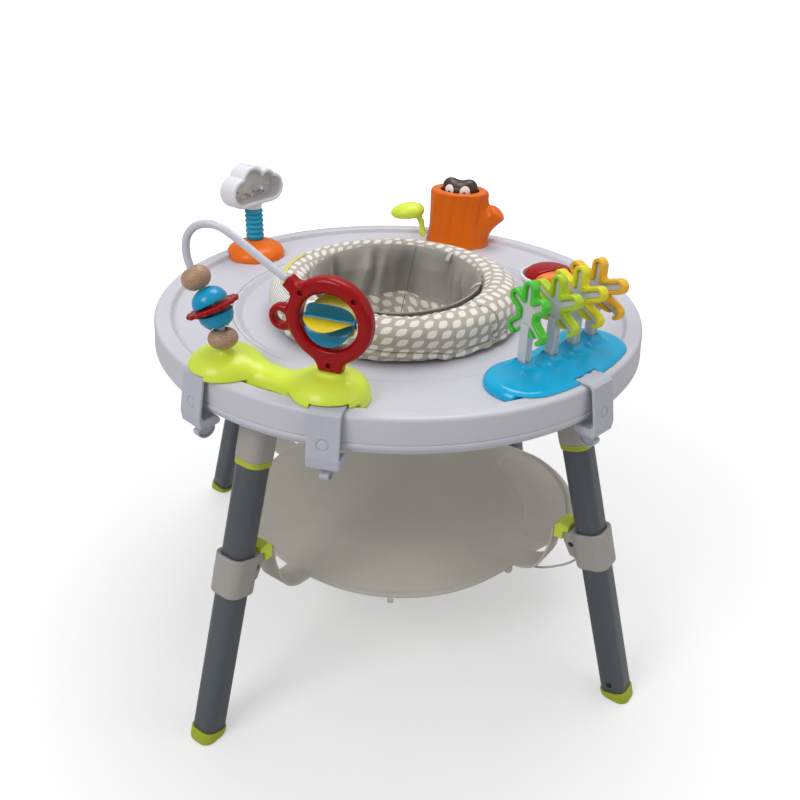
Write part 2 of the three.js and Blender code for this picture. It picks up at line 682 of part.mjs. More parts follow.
// [radius, z]
const CUP_PROFILE = [
  [0, TOY_Z], [36, TOY_Z], [45, 528], [46.5, 531], [43, 531.5], [41, 528], [34, 512], [0, 512],
];
const CUP_INSIDE = [[0, 512], [34, 512], [41, 528], [41, 560], [0, 560]];
const DRUM_PROFILE = [
  [0, 513], [31, 513], [38.5, 528], [37, 535], [28, 541], [14, 545], [0, 546],
];
const atCup = (profile, segments) => turned(profile, segments).translate(...CUP, 0);

function cupHousing() {
  const plate = extruded(roundRect(92, 84, 30, 3), 6).translate(262, 40, TOY_Z);
  return cut(join(atCup(CUP_PROFILE, 24), plate), atCup(CUP_INSIDE, 24), ...rimTools());
}
add('cup_housing', cupHousing(), { color: COLOUR.white, roughness: 0.4 });
add('cup_drum', atCup(DRUM_PROFILE, 20), { color: COLOUR.red, roughness: 0.35 });

// ---- rim clips ----------------------------------------------------------
// hooked over the rim and down outside the skirt: [radius, z]
const CLIP_SECTION = [
  [323, 516.4], [323, 519.6], [345, 520.4], [350.5, 517], [360.6, 466], [359.5, 452.5],
  [356, 449.2], [337, 449.2], [332, 451.5], [330, 456], [332, 460.5], [336, 462.5],
  [352.5, 462.5], [356.4, 468], [347.2, 512.5], [343.2, 516.4],
];
// cam lever under each clip: [radius, z]
const LEVER_SECTION = [
  [338.5, 446.8], [342, 448.4], [345.5, 446.8], [347.5, 444], [354.5, 441], [354.5, 436.5],
  [351, 431.5], [345, 428.3], [339, 428.3], [333, 431.5], [329.5, 436.5], [329.5, 441],
  [336.5, 443.8],
];
const LEVER_WIDTH = 11;
const CLIP_FINISH = { color: COLOUR.clip, roughness: 0.45 };
for (const [name, azimuth] of Object.entries(CLIP_AZ)) {
  const clip = add(`clip_${name}`, section(CLIP_SECTION, CLIP_WIDTH), CLIP_FINISH);
  const lever = add(`clip_lever_${name}`, section(LEVER_SECTION, LEVER_WIDTH), CLIP_FINISH);
  clip.rotation.z = azimuth * DEG;
  lever.rotation.z = azimuth * DEG;
}

export default root;
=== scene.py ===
from functools import reduce
from itertools import product
from math import acos, atan2, cos, degrees, pi, radians, sin, sqrt, tan

import bmesh
import bpy
import numpy as np
from mathutils import Matrix, Vector
from mathutils.bvhtree import BVHTree


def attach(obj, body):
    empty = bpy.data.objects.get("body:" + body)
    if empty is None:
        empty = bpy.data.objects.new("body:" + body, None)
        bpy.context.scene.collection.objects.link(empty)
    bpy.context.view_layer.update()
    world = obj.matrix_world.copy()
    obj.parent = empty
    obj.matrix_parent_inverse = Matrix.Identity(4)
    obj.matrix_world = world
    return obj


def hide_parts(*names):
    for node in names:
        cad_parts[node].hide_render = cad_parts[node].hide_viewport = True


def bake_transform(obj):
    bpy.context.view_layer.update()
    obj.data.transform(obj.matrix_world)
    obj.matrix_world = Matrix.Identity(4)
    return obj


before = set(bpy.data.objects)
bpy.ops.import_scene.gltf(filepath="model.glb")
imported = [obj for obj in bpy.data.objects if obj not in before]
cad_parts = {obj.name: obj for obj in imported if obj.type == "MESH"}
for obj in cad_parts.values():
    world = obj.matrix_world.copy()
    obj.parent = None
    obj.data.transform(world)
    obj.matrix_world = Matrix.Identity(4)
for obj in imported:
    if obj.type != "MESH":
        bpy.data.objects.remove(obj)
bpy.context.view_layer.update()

MM = 0.001

# ------------------------------------------------------------------ shared places (mm, degrees)
LEG_AZIMUTHS = {"fl": -126.06, "fr": -36.06, "br": 53.94, "bl": 143.94}
CLIP_AZIMUTHS = {"bead_left": -133.4, "bead_right": -102.8, "tree": -45.2, "cloud": 141,
                 "stump": 70.5}
SEAT_X, SEAT_Y = -6.0, -5.0
TOY_FOOT_Z = 508.3      # the tray surface the toys stand on


# ------------------------------------------------------------------ shader tools
def linear(rgb):
    """Linear colour of an 8-bit sRGB triple."""
    return tuple(v / 255 / 12.92 if v / 255 <= 0.04045 else ((v / 255 + 0.055) / 1.055) ** 2.4
                 for v in rgb)


def shade(color, factor):
    return tuple(min(1.0, v * factor) for v in color)


class Shader:
    """A material with a Principled surface, and short ways to add nodes to it."""

    def __init__(self, name):
        self.material = bpy.data.materials.new(name)
        self.material.use_nodes = True
        self.tree = self.material.node_tree
        self.tree.nodes.clear()
        self.out = self.node("OutputMaterial")
        self.surface = self.node("BsdfPrincipled")
        self.link(self.surface.outputs[0], self.out.inputs[0])

    def node(self, kind, **settings):
        made = self.tree.nodes.new("ShaderNode" + kind)
        for key, value in settings.items():
            setattr(made, key, value)
        return made

    def link(self, source, target):
        self.tree.links.new(source, target)

    def feed(self, target, value):
        """Link a socket to the target, or store a plain value in it."""
        if isinstance(value, bpy.types.NodeSocket):
            self.link(value, target)
        else:
            target.default_value = value

    def set(self, **inputs):
        """Feed inputs of the Principled surface; underscores stand for spaces."""
        for key, value in inputs.items():
            self.feed(self.surface.inputs[key.replace("_", " ")], value)

    def coords(self, kind):
        return self.node("TexCoord").outputs[kind]

    def split(self, vector):
        """X and Y of a vector."""
        parts = self.node("SeparateXYZ")
        self.link(vector, parts.inputs[0])
        return parts.outputs[0], parts.outputs[1]

    def math(self, operation, *values):
        made = self.node("Math", operation=operation)
        for i, value in enumerate(values):
            self.feed(made.inputs[i], value)
        return made.outputs[0]

    def noise(self, vector, scale, detail=2.0, rough=0.5, distortion=0.0):
        made = self.node("TexNoise")
        self.link(vector, made.inputs["Vector"])
        made.inputs["Scale"].default_value = scale
        made.inputs["Detail"].default_value = detail
        made.inputs["Roughness"].default_value = rough
        made.inputs["Distortion"].default_value = distortion
        return made.outputs["Fac"]

    def remap(self, value, span, to=(0, 1), smooth=False):
        """Map the range span of a value onto the range to, clamped."""
        made = self.node("MapRange")
        if smooth:
            made.interpolation_type = "SMOOTHSTEP"
        for i, part in enumerate((value, *span, *to)):
            self.feed(made.inputs[i], part)
        return made.outputs[0]

    def mix(self, factor, first, second):
        made = self.node("Mix", data_type="RGBA")
        self.feed(made.inputs[0], factor)
        for i, color in ((6, first), (7, second)):
            self.feed(made.inputs[i], (*color, 1) if isinstance(color, tuple) else color)
        return made.outputs[2]

    def bump(self, height, strength, distance, under=None):
        made = self.node("Bump")
        made.inputs["Strength"].default_value = strength
        made.inputs["Distance"].default_value = distance
        self.link(height, made.inputs["Height"])
        if under is not None:
            self.link(under, made.inputs["Normal"])
        return made.outputs[0]

    def weave(self, place, pitch):
        """Height of a plain weave; place is in metres, pitch in mm."""
        turns = 2 * pi / (pitch * MM)
        warp, weft = (self.math("SINE", self.math("MULTIPLY", part, turns))
                      for part in self.split(place))
        return self.math("ADD", self.math("MULTIPLY", warp, weft),
                         self.math("MULTIPLY", self.math("ABSOLUTE", warp), 0.5))


# ------------------------------------------------------------------ materials
def plastic(name, rgb, rough=0.38, coat=0.0, grain=0.10, sss=0.0, vary=0.025, spec=0.4,
            wear=0.25):
    """Moulded plastic: vary mottles the colour, wear pales the edges, sss is subsurface weight."""
    mat = Shader(name)
    place = mat.coords("Object")
    base = linear(rgb)
    broad = mat.noise(place, scale=9, detail=4, rough=0.55)
    fine = mat.noise(place, scale=70, detail=3, rough=0.6)
    mottle = mat.math("MULTIPLY_ADD", fine, 0.35, mat.math("MULTIPLY", broad, 0.65))
    color = mat.mix(mat.remap(mottle, span=(0.3, 0.7)), shade(base, 1 - vary),
                    shade(base, 1 + vary))
    pointed = mat.node("NewGeometry").outputs["Pointiness"]
    edge = mat.remap(pointed, span=(0.515, 0.60), to=(0, wear))
    # worn edges go towards grey
    color = mat.mix(edge, color, tuple(0.75 * v + 0.25 * max(base) for v in shade(base, 1.15)))
    # painted shade: the colour is darkened in crevices
    crevice_shade = mat.remap(pointed, span=(0.44, 0.49), to=(0.45, 0))
    color = mat.mix(crevice_shade, color, shade(base, 0.62))
    smudge = mat.noise(place, scale=38, detail=5, rough=0.65)
    tooth = mat.noise(place, scale=2600, detail=1)
    wobble = mat.noise(place, scale=120)
    relief = mat.bump(tooth, strength=grain, distance=0.00012)
    mat.set(Base_Color=color, Specular_IOR_Level=spec,
            Roughness=mat.remap(smudge, span=(0.25, 0.75), to=(rough - 0.03, rough + 0.04)),
            Normal=mat.bump(wobble, strength=0.03, distance=0.0004, under=relief))
    if coat:
        mat.set(Coat_Weight=coat, Coat_Roughness=0.12)
    if sss:
        mat.set(Subsurface_Weight=sss, Subsurface_Radius=(0.004, 0.003, 0.003),
                Subsurface_Scale=1.0)
    return mat.material


def metal_paint(name, rgb, rough):
    """Metallic paint with fine flecks and streaks along Z."""
    mat = Shader(name)
    place = mat.coords("Object")
    base = linear(rgb)
    fleck = mat.noise(place, scale=5200, detail=0)
    color = mat.mix(mat.remap(fleck, span=(0.45, 0.75)), shade(base, 0.9), shade(base, 1.28))
    broad = mat.noise(place, scale=16, detail=3)
    color = mat.mix(mat.remap(broad, span=(0.35, 0.7), to=(0, 0.3)), color, shade(base, 1.12))
    stretch = mat.node("Mapping")
    stretch.inputs["Scale"].default_value = (900, 900, 30)
    mat.link(place, stretch.inputs["Vector"])
    streak = mat.noise(stretch.outputs[0], scale=1)
    tooth = mat.noise(place, scale=3000, detail=1)
    mat.set(Base_Color=color, Metallic=0.25, Coat_Weight=0.15, Coat_Roughness=0.3,
            Roughness=mat.remap(streak, span=(0.3, 0.7), to=(rough - 0.06, rough + 0.1)),
            Normal=mat.bump(tooth, strength=0.12, distance=0.0001))
    return mat.material


def steel(name):
    mat = Shader(name)
    grain = mat.noise(mat.coords("Object"), scale=900, detail=3)
    mat.set(Base_Color=mat.mix(grain, (0.45, 0.45, 0.46), (0.62, 0.62, 0.63)), Metallic=1.0,
            Roughness=mat.remap(grain, span=(0.3, 0.7), to=(0.22, 0.4)))
    return mat.material


def wood(name):
    mat = Shader(name)
    place = mat.coords("Object")
    stretch = mat.node("Mapping")
    stretch.inputs["Scale"].default_value = (60, 60, 320)
    stretch.inputs["Rotation"].default_value = (0.5, 0.9, 0.2)
    mat.link(place, stretch.inputs["Vector"])
    grain = mat.noise(stretch.outputs[0], scale=3, detail=6, rough=0.7, distortion=0.6)
    rings = mat.node("TexWave", wave_type="BANDS", bands_direction="X")
    mat.link(stretch.outputs[0], rings.inputs["Vector"])
    for key, value in (("Scale", 0.8), ("Distortion", 5.0), ("Detail", 3.0)):
        rings.inputs[key].default_value = value
    figure = mat.math("MULTIPLY_ADD", rings.outputs["Fac"], 0.35,
                      mat.math("MULTIPLY", grain, 0.65))
    color = mat.mix(mat.remap(figure, span=(0.25, 0.75)), linear((138, 104, 80)),
                    linear((192, 158, 128)))
    pores = mat.noise(place, scale=1900)
    color = mat.mix(mat.remap(pores, span=(0.6, 0.72), to=(0, 0.35)), color,
                    linear((120, 82, 55)))
    mat.set(Base_Color=color, Coat_Weight=0.15,
            Roughness=mat.remap(grain, span=(0.3, 0.7), to=(0.42, 0.6)),
            Normal=mat.bump(figure, strength=0.25, distance=0.0002))
    return mat.material


def leaf_fabric(name):
    """Taupe woven cloth printed with slanted pale leaves. UV in metres."""
    cell_wide, cell_high = 19.2, 15.0       # mm, one leaf per cell
    column_rise, row_shift = 0.16, 0.06     # in cells, per column and per row
    leaf_half, leaf_half_wide = 9.4, 4.7    # mm
    slant = radians(37)
    taper = 1.9                             # power of the leaf outline
    mat = Shader(name)
    calc = mat.math
    place = mat.coords("UV")
    u_place, v_place = mat.split(place)
    across = calc("DIVIDE", u_place, cell_wide * MM)
    upward = calc("ADD", calc("DIVIDE", v_place, cell_high * MM),
                  calc("MULTIPLY", across, column_rise))
    row = calc("FLOOR", upward)
    across = calc("ADD", across, calc("MULTIPLY", row, row_shift))
    # place within the cell, mm from its middle
    cell_x = calc("MULTIPLY", calc("SUBTRACT", calc("FRACT", across), 0.5), cell_wide)
    cell_y = calc("MULTIPLY", calc("SUBTRACT", calc("FRACT", upward), 0.5), cell_high)
    wobble = mat.noise(place, scale=330, detail=1)
    cell_y = calc("ADD", cell_y, calc("MULTIPLY", calc("SUBTRACT", wobble, 0.5), 0.9))
    leaf_x = calc("ADD", calc("MULTIPLY", cell_x, cos(slant)),
                  calc("MULTIPLY", cell_y, sin(slant)))
    leaf_y = calc("SUBTRACT", calc("MULTIPLY", cell_y, cos(slant)),
                  calc("MULTIPLY", cell_x, sin(slant)))
    # pointed oval, widest in the middle
    along = calc("ABSOLUTE", calc("DIVIDE", leaf_x, leaf_half))
    half_width = calc("MULTIPLY", calc("SUBTRACT", 1.0, calc("POWER", along, taper)),
                      leaf_half_wide)
    outside = calc("SUBTRACT", calc("ABSOLUTE", leaf_y), half_width)
    printed = mat.remap(outside, span=(-0.25, 0.25), to=(1, 0), smooth=True)
    heather = mat.noise(place, scale=1500)
    broad = mat.noise(place, scale=22, detail=3)
    ground = mat.mix(mat.remap(heather, span=(0.3, 0.7)), linear((171, 159, 147)),
                     linear((199, 188, 177)))
    ground = mat.mix(mat.remap(broad, span=(0.35, 0.7), to=(0, 0.35)), ground,
                     linear((188, 178, 168)))
    pale = mat.mix(mat.remap(heather, span=(0.3, 0.75)), linear((228, 224, 215)),
                   linear((247, 245, 240)))
    color = mat.mix(printed, ground, pale)
    thread = mat.weave(place, pitch=0.85)
    # painted shade in the low points of the weave
    color = mat.mix(mat.remap(thread, span=(-1.2, -0.3), to=(0.28, 0)), color,
                    linear((120, 108, 98)))
    relief = mat.bump(thread, strength=0.5, distance=0.00022)
    relief = mat.bump(heather, strength=0.25, distance=0.0003, under=relief)
    lumps = mat.noise(place, scale=60, detail=3, rough=0.6)
    mat.set(Base_Color=color, Roughness=mat.remap(heather, span=(0, 1), to=(0.78, 0.95)),
            Normal=mat.bump(lumps, strength=0.25, distance=0.0016, under=relief),
            Sheen_Weight=0.25, Sheen_Roughness=0.5, Specular_IOR_Level=0.25)
    return mat.material


def plain_fabric(name, rgb, pitch=0.8, painted_fold_shade=False):
    """Heathered plain cloth; when asked, it paints shade into the fold valleys and a highlight
    onto the fold ridges, from the mesh attribute "fold".
    """
    mat = Shader(name)
    place = mat.coords("UV")
    base = linear(rgb)
    heather = mat.noise(place, scale=1300)
    broad = mat.noise(place, scale=16, detail=4)
    color = mat.mix(mat.remap(heather, span=(0.3, 0.7)), shade(base, 0.88), shade(base, 1.12))
    color = mat.mix(mat.remap(broad, span=(0.35, 0.7), to=(0, 0.4)), color, shade(base, 0.86))
    thread = mat.weave(place, pitch)
    # painted shade in the low points of the weave
    color = mat.mix(mat.remap(thread, span=(-1.2, -0.3), to=(0.3, 0)), color, shade(base, 0.6))
    if painted_fold_shade:
        fold = mat.node("Attribute", attribute_name="fold").outputs["Fac"]
        # painted shade in the fold valleys, then a painted highlight on the fold ridges
        color = mat.mix(mat.remap(fold, span=(0, 0.9), to=(0, 0.55)), color, shade(base, 0.55))
        color = mat.mix(mat.remap(fold, span=(-0.9, 0), to=(0.45, 0)), color, shade(base, 1.35))
    relief = mat.bump(thread, strength=0.45, distance=0.0002)
    lumps = mat.noise(place, scale=45, detail=3, rough=0.6)
    mat.set(Base_Color=color, Roughness=mat.remap(heather, span=(0, 1), to=(0.8, 0.95)),
            Normal=mat.bump(lumps, strength=0.3, distance=0.002, under=relief),
            Sheen_Weight=0.3, Specular_IOR_Level=0.2)
    return mat.material


def stripe_cloth(name, rgb, line):
    """Pale cloth with thin wavering lines across V, like rows of text."""
    pitch = 3.0                             # mm between lines
    half_line, softness = 0.14, 0.04        # share of the pitch
    mat = Shader(name)
    place = mat.coords("UV")
    _, v_place = mat.split(place)
    waver = mat.noise(place, scale=80, detail=1)
    waver = mat.math("MULTIPLY", mat.math("SUBTRACT", waver, 0.5), 0.0006)
    phase = mat.math("FRACT", mat.math("DIVIDE", mat.math("ADD", v_place, waver), pitch * MM))
    lined = mat.remap(mat.math("ABSOLUTE", mat.math("SUBTRACT", phase, 0.5)),
                      span=(half_line - softness, half_line + softness), to=(1, 0))
    heather = mat.noise(place, scale=1500)
    ground = mat.mix(heather, shade(linear(rgb), 0.93), linear(rgb))
    mat.set(Base_Color=mat.mix(lined, ground, linear(line)), Roughness=0.8,
            Normal=mat.bump(mat.weave(place, pitch=0.55), strength=0.4, distance=0.00015),
            Sheen_Weight=0.15, Specular_IOR_Level=0.2)
    return mat.material


def clear(name):
    """Mostly transparent window with a faint glossy skin."""
    mat = Shader(name)
    place = mat.coords("Object")
    through = mat.node("BsdfTransparent")
    blend = mat.node("MixShader")
    blend.inputs[0].default_value = 0.12
    mat.link(through.outputs[0], blend.inputs[1])
    mat.link(mat.surface.outputs[0], blend.inputs[2])
    mat.link(blend.outputs[0], mat.out.inputs[0])
    smudge = mat.noise(place, scale=60, detail=3)
    mat.set(Base_Color=(0.90, 0.90, 0.90, 1),
            Roughness=mat.remap(smudge, span=(0.3, 0.7), to=(0.03, 0.1)))
    return mat.material


MAT = dict(
    tray=plastic("tray_plastic", (197, 196, 205), rough=0.40, grain=0.22),
    ring=plastic("ring_plastic", (198, 197, 206), rough=0.42, grain=0.22),
    under=plastic("under_plastic", (205, 202, 210), rough=0.5, grain=0.3, vary=0.03),
    leg=metal_paint("leg_paint", (80, 86, 92), rough=0.33),
    grey=plastic("grey_plastic", (164, 160, 154), rough=0.48, grain=0.3, vary=0.04),
    lime=plastic("lime_plastic", (212, 231, 66), rough=0.36, coat=0.15, sss=0.03),
    lime_trim=plastic("lime_trim", (176, 186, 44), rough=0.45, grain=0.15),
    platform=plastic("platform_plastic", (192, 187, 176), rough=0.5, grain=0.35, vary=0.04),
    clip=plastic("clip_plastic", (182, 184, 195), rough=0.42, grain=0.22, vary=0.03),
    white=plastic("white_plastic", (224, 223, 230), rough=0.33, coat=0.2, grain=0.08, vary=0.02),
    wire=plastic("wire_plastic", (196, 197, 207), rough=0.30, coat=0.25, grain=0.06, vary=0.02),
    plate=plastic("plate_plastic", (198, 200, 204), grain=0.12, vary=0.03),
    wood=wood("bead_wood"),
    blue=plastic("blue_plastic", (0, 166, 214), rough=0.18, coat=0.15, grain=0.04, vary=0.01,
                 spec=0.32, wear=0.1),
    planet=plastic("planet_plastic", (0, 146, 190), rough=0.22, coat=0.12, grain=0.04,
                   vary=0.01, spec=0.32, wear=0.1),
    red=plastic("red_plastic", (152, 2, 6), rough=0.24, coat=0.05, grain=0.04, vary=0.01,
                spec=0.22, wear=0.05),
    disc=plastic("disc_plastic", (156, 3, 9), rough=0.24, coat=0.06, grain=0.04, vary=0.01,
                 spec=0.24, wear=0.05),
    vane_yellow=plastic("vane_yellow", (226, 198, 20), rough=0.26, coat=0.15, grain=0.06,
                        sss=0.03),
    vane_blue=plastic("vane_blue", (0, 118, 156), rough=0.26, coat=0.15, grain=0.06),
    orange=plastic("orange_plastic", (234, 108, 6), rough=0.28, coat=0.08, grain=0.06,
                   sss=0.02, spec=0.25),
    bark=plastic("bark_plastic", (226, 104, 2), rough=0.32, coat=0.08, sss=0.02, vary=0.04,
                 spec=0.22),
    teal=plastic("teal_rubber", (30, 152, 186), rough=0.52, grain=0.25, vary=0.05),
    brown=plastic("brown_plastic", (62, 40, 32), coat=0.1, grain=0.14),
    green=plastic("tree_green", (70, 192, 40), rough=0.26, coat=0.15, grain=0.05, sss=0.02),
    olive=plastic("tree_olive", (178, 202, 30), rough=0.26, coat=0.15, grain=0.05, sss=0.02),
    gold=plastic("tree_gold", (222, 212, 20), rough=0.26, coat=0.15, grain=0.05, sss=0.02),
    amber=plastic("tree_amber", (236, 180, 30), rough=0.26, coat=0.15, grain=0.05, sss=0.02),
    dark=plastic("dark_plastic", (24, 24, 26), rough=0.4),
    cloud_back=plastic("cloud_back", (214, 210, 203), rough=0.5, grain=0.15),
    eye_white=plastic("eye_white", (238, 228, 226), rough=0.32, coat=0.2, grain=0.03, vary=0.01),
    cup_grey=plastic("cup_grey", (140, 140, 146), rough=0.4),
    steel=steel("axle_steel"),
    clear=clear("clear_window"),
    pad=leaf_fabric("pad_print"),
    liner=plain_fabric("liner_cloth", (149, 145, 138), painted_fold_shade=True),
    trim=plain_fabric("seam_tape", (206, 198, 188), pitch=0.6),
    seam=plain_fabric("seam_thread", (118, 114, 108), pitch=0.5),
    piping=plain_fabric("piping_cloth", (150, 145, 138), pitch=0.5),
    tape=plain_fabric("loop_tape", (190, 184, 176), pitch=0.5),
    tag=plain_fabric("tag_cloth", (236, 234, 228), pitch=0.5),
    tag_yellow=plain_fabric("tag_band", (222, 214, 96), pitch=0.5),
    label=stripe_cloth("label_cloth", (238, 237, 233), line=(96, 92, 86)),
)


# ------------------------------------------------------------------ placing and mesh tools
def mesh_object(name, verts, faces, mat, smooth=True, uvs=None, mat_indices=None):
    """Object from vertices in mm; mat is one material or a list of them."""
    mesh = bpy.data.meshes.new(name)
    points = np.asarray(verts, float) * MM
    faces = faces.tolist() if isinstance(faces, np.ndarray) else faces
    mesh.from_pydata(points.tolist(), [], faces)
    mesh.validate()
    if smooth:
        mesh.polygons.foreach_set("use_smooth", np.ones(len(mesh.polygons), bool))
    for each in mat if isinstance(mat, list) else [mat]:
        mesh.materials.append(each)
    if mat_indices is not None:
        mesh.polygons.foreach_set("material_index", np.asarray(mat_indices, np.int32))
    if uvs is not None:
        layer = mesh.uv_layers.new(name="UVMap")
        layer.data.foreach_set("uv", np.asarray(uvs, np.float32).ravel())
    mesh.update()
    obj = bpy.data.objects.new(name, mesh)
    bpy.context.scene.collection.objects.link(obj)
    return obj


def put(obj, body, *nodes, slot=None):
    """Let obj ride a body and stand in for the CAD nodes; slot is not used."""
    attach(obj, body)
    if nodes:
        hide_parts(*nodes)


def sharpen(obj, angle):
    obj.data.set_sharp_from_angle(angle=radians(angle))


def evaluated_mesh(obj):
    graph = bpy.context.evaluated_depsgraph_get()
    return bpy.data.meshes.new_from_object(obj.evaluated_get(graph),
                                           preserve_all_data_layers=True, depsgraph=graph)


def apply_modifiers(obj):
    mesh = evaluated_mesh(obj)
    obj.modifiers.clear()
    obj.data = mesh


def polar(radius, azimuth, z=0.0):
    return (radius * cos(radians(azimuth)), radius * sin(radians(azimuth)), z)


def turn(verts, azimuth, shift=(0, 0, 0)):
    """Turn points about Z, then shift them."""
    c, s = cos(radians(azimuth)), sin(radians(azimuth))
    return np.asarray(verts, float) @ np.array([[c, s, 0], [-s, c, 0], [0, 0, 1]]) + shift


def local(x, y, azimuth, center=(0, 0)):
    """Plan coordinates in a frame at center whose X axis points along azimuth."""
    c, s = cos(radians(azimuth)), sin(radians(azimuth))
    x, y = x - center[0], y - center[1]
    return x * c + y * s, y * c - x * s


def wrap(angle):
    """Bring an angle in degrees into -180..180."""
    return (angle + 180) % 360 - 180


# ---- signed distance fields, in mm and negative inside
def length(*parts):
    return np.sqrt(sum(part * part for part in parts))


def common(*fields):
    """Sharp intersection."""
    return reduce(np.maximum, fields)


def soft_min(first, second, blend):
    """Union with a blended joint."""
    share = np.clip(0.5 + 0.5 * (second - first) / blend, 0, 1)
    return second + (first - second) * share - blend * share * (1 - share)


def soft_max(first, second, blend):
    """Intersection with a blended edge."""
    return -soft_min(-first, -second, blend)


def cut(body, tool, blend):
    return soft_max(body, -tool, blend)


def polygon(x, y, points):
    """Distance to a closed polygon."""
    start = np.asarray(points, float)
    end = np.roll(start, -1, axis=0)
    x, y = np.broadcast_arrays(x, y)
    nearest = np.full(x.shape, 1e9)
    inside = np.zeros(x.shape, bool)
    for (x_a, y_a), (x_b, y_b) in zip(start, end):
        run, rise = x_b - x_a, y_b - y_a
        square = run * run + rise * rise
        if square < 1e-12:
            continue
        along = np.clip(((x - x_a) * run + (y - y_a) * rise) / square, 0, 1)
        nearest = np.minimum(nearest,
                             (x - x_a - along * run) ** 2 + (y - y_a - along * rise) ** 2)
        if rise != 0:
            inside ^= ((y_a > y) != (y_b > y)) & (x < x_a + (y - y_a) / rise * run)
    away = np.sqrt(nearest)
    return np.where(inside, -away, away)


def rounded(edge, *sides):
    """Meeting of the sides, each a distance field, with rounded edges."""
    sides = [side + edge for side in sides]
    outside = length(*(np.maximum(side, 0) for side in sides))
    return outside + np.minimum(common(*sides), 0) - edge


def slab(outline, across, half, edge):
    """Solid of a flat outline, half thick on each side of across = 0."""
    return rounded(edge, outline, np.abs(across) - half)


def box(x, y, z, half_x, half_y, half_z, edge):
    return rounded(edge, np.abs(x) - half_x, np.abs(y) - half_y, np.abs(z) - half_z)


def rect(x, y, width, height, corner):
    return rounded(corner, np.abs(x) - width / 2, np.abs(y) - height / 2)


def cross(x, y, z, long, deep, wide):
    """Plus-shaped screw recess facing Y."""
    return np.minimum(box(x, y, z, long, deep, wide, 0.1), box(x, y, z, wide, deep, long, 0.1))


def ellipsoid(x, y, z, radius_x, radius_y, radius_z):
    scaled = length(x / radius_x, y / radius_y, z / radius_z)
    steep = length(x / radius_x ** 2, y / radius_y ** 2, z / radius_z ** 2) + 1e-9
    return scaled * (scaled - 1) / steep


def capsule(x, y, z, start, end, radius, end_radius):
    start = np.array(start, float)
    axis = np.array(end, float) - start
    parts = x - start[0], y - start[1], z - start[2]
    along = np.clip(sum(p * q for p, q in zip(parts, axis)) / (axis @ axis), 0, 1)
    away = length(*(p - along * q for p, q in zip(parts, axis)))
    return away - (radius + (end_radius - radius) * along)


def cylinder(x, y, z, start, end, radius, edge):
    """Flat-ended cylinder."""
    start = np.array(start, float)
    axis = np.array(end, float) - start
    tall = np.linalg.norm(axis)
    axis = axis / tall
    parts = x - start[0], y - start[1], z - start[2]
    along = sum(p * q for p, q in zip(parts, axis))
    square = sum((p - along * q) ** 2 for p, q in zip(parts, axis))
    return slab(np.sqrt(np.maximum(square, 1e-12)) - radius, along - tall / 2, tall / 2, edge)


def dome(away, height, radius, tall, power):
    """Rounded mound: away is the plan distance from its spine."""
    scaled = np.abs(away / radius) ** power + np.abs(np.maximum(height, 0) / tall) ** power
    return ((scaled + 1e-9) ** (1 / power) - 1) * min(radius, tall)


def arc_distance(x, y, radius, start, end):
    """Plan distance to an arc about the tray's axis between two azimuths."""
    middle, half = (start + end) / 2, (end - start) / 2
    azimuth = wrap(np.degrees(np.arctan2(y, x)) - middle)
    nearest = np.radians(np.clip(azimuth, -half, half) + middle)
    return length(x - radius * np.cos(nearest), y - radius * np.sin(nearest))


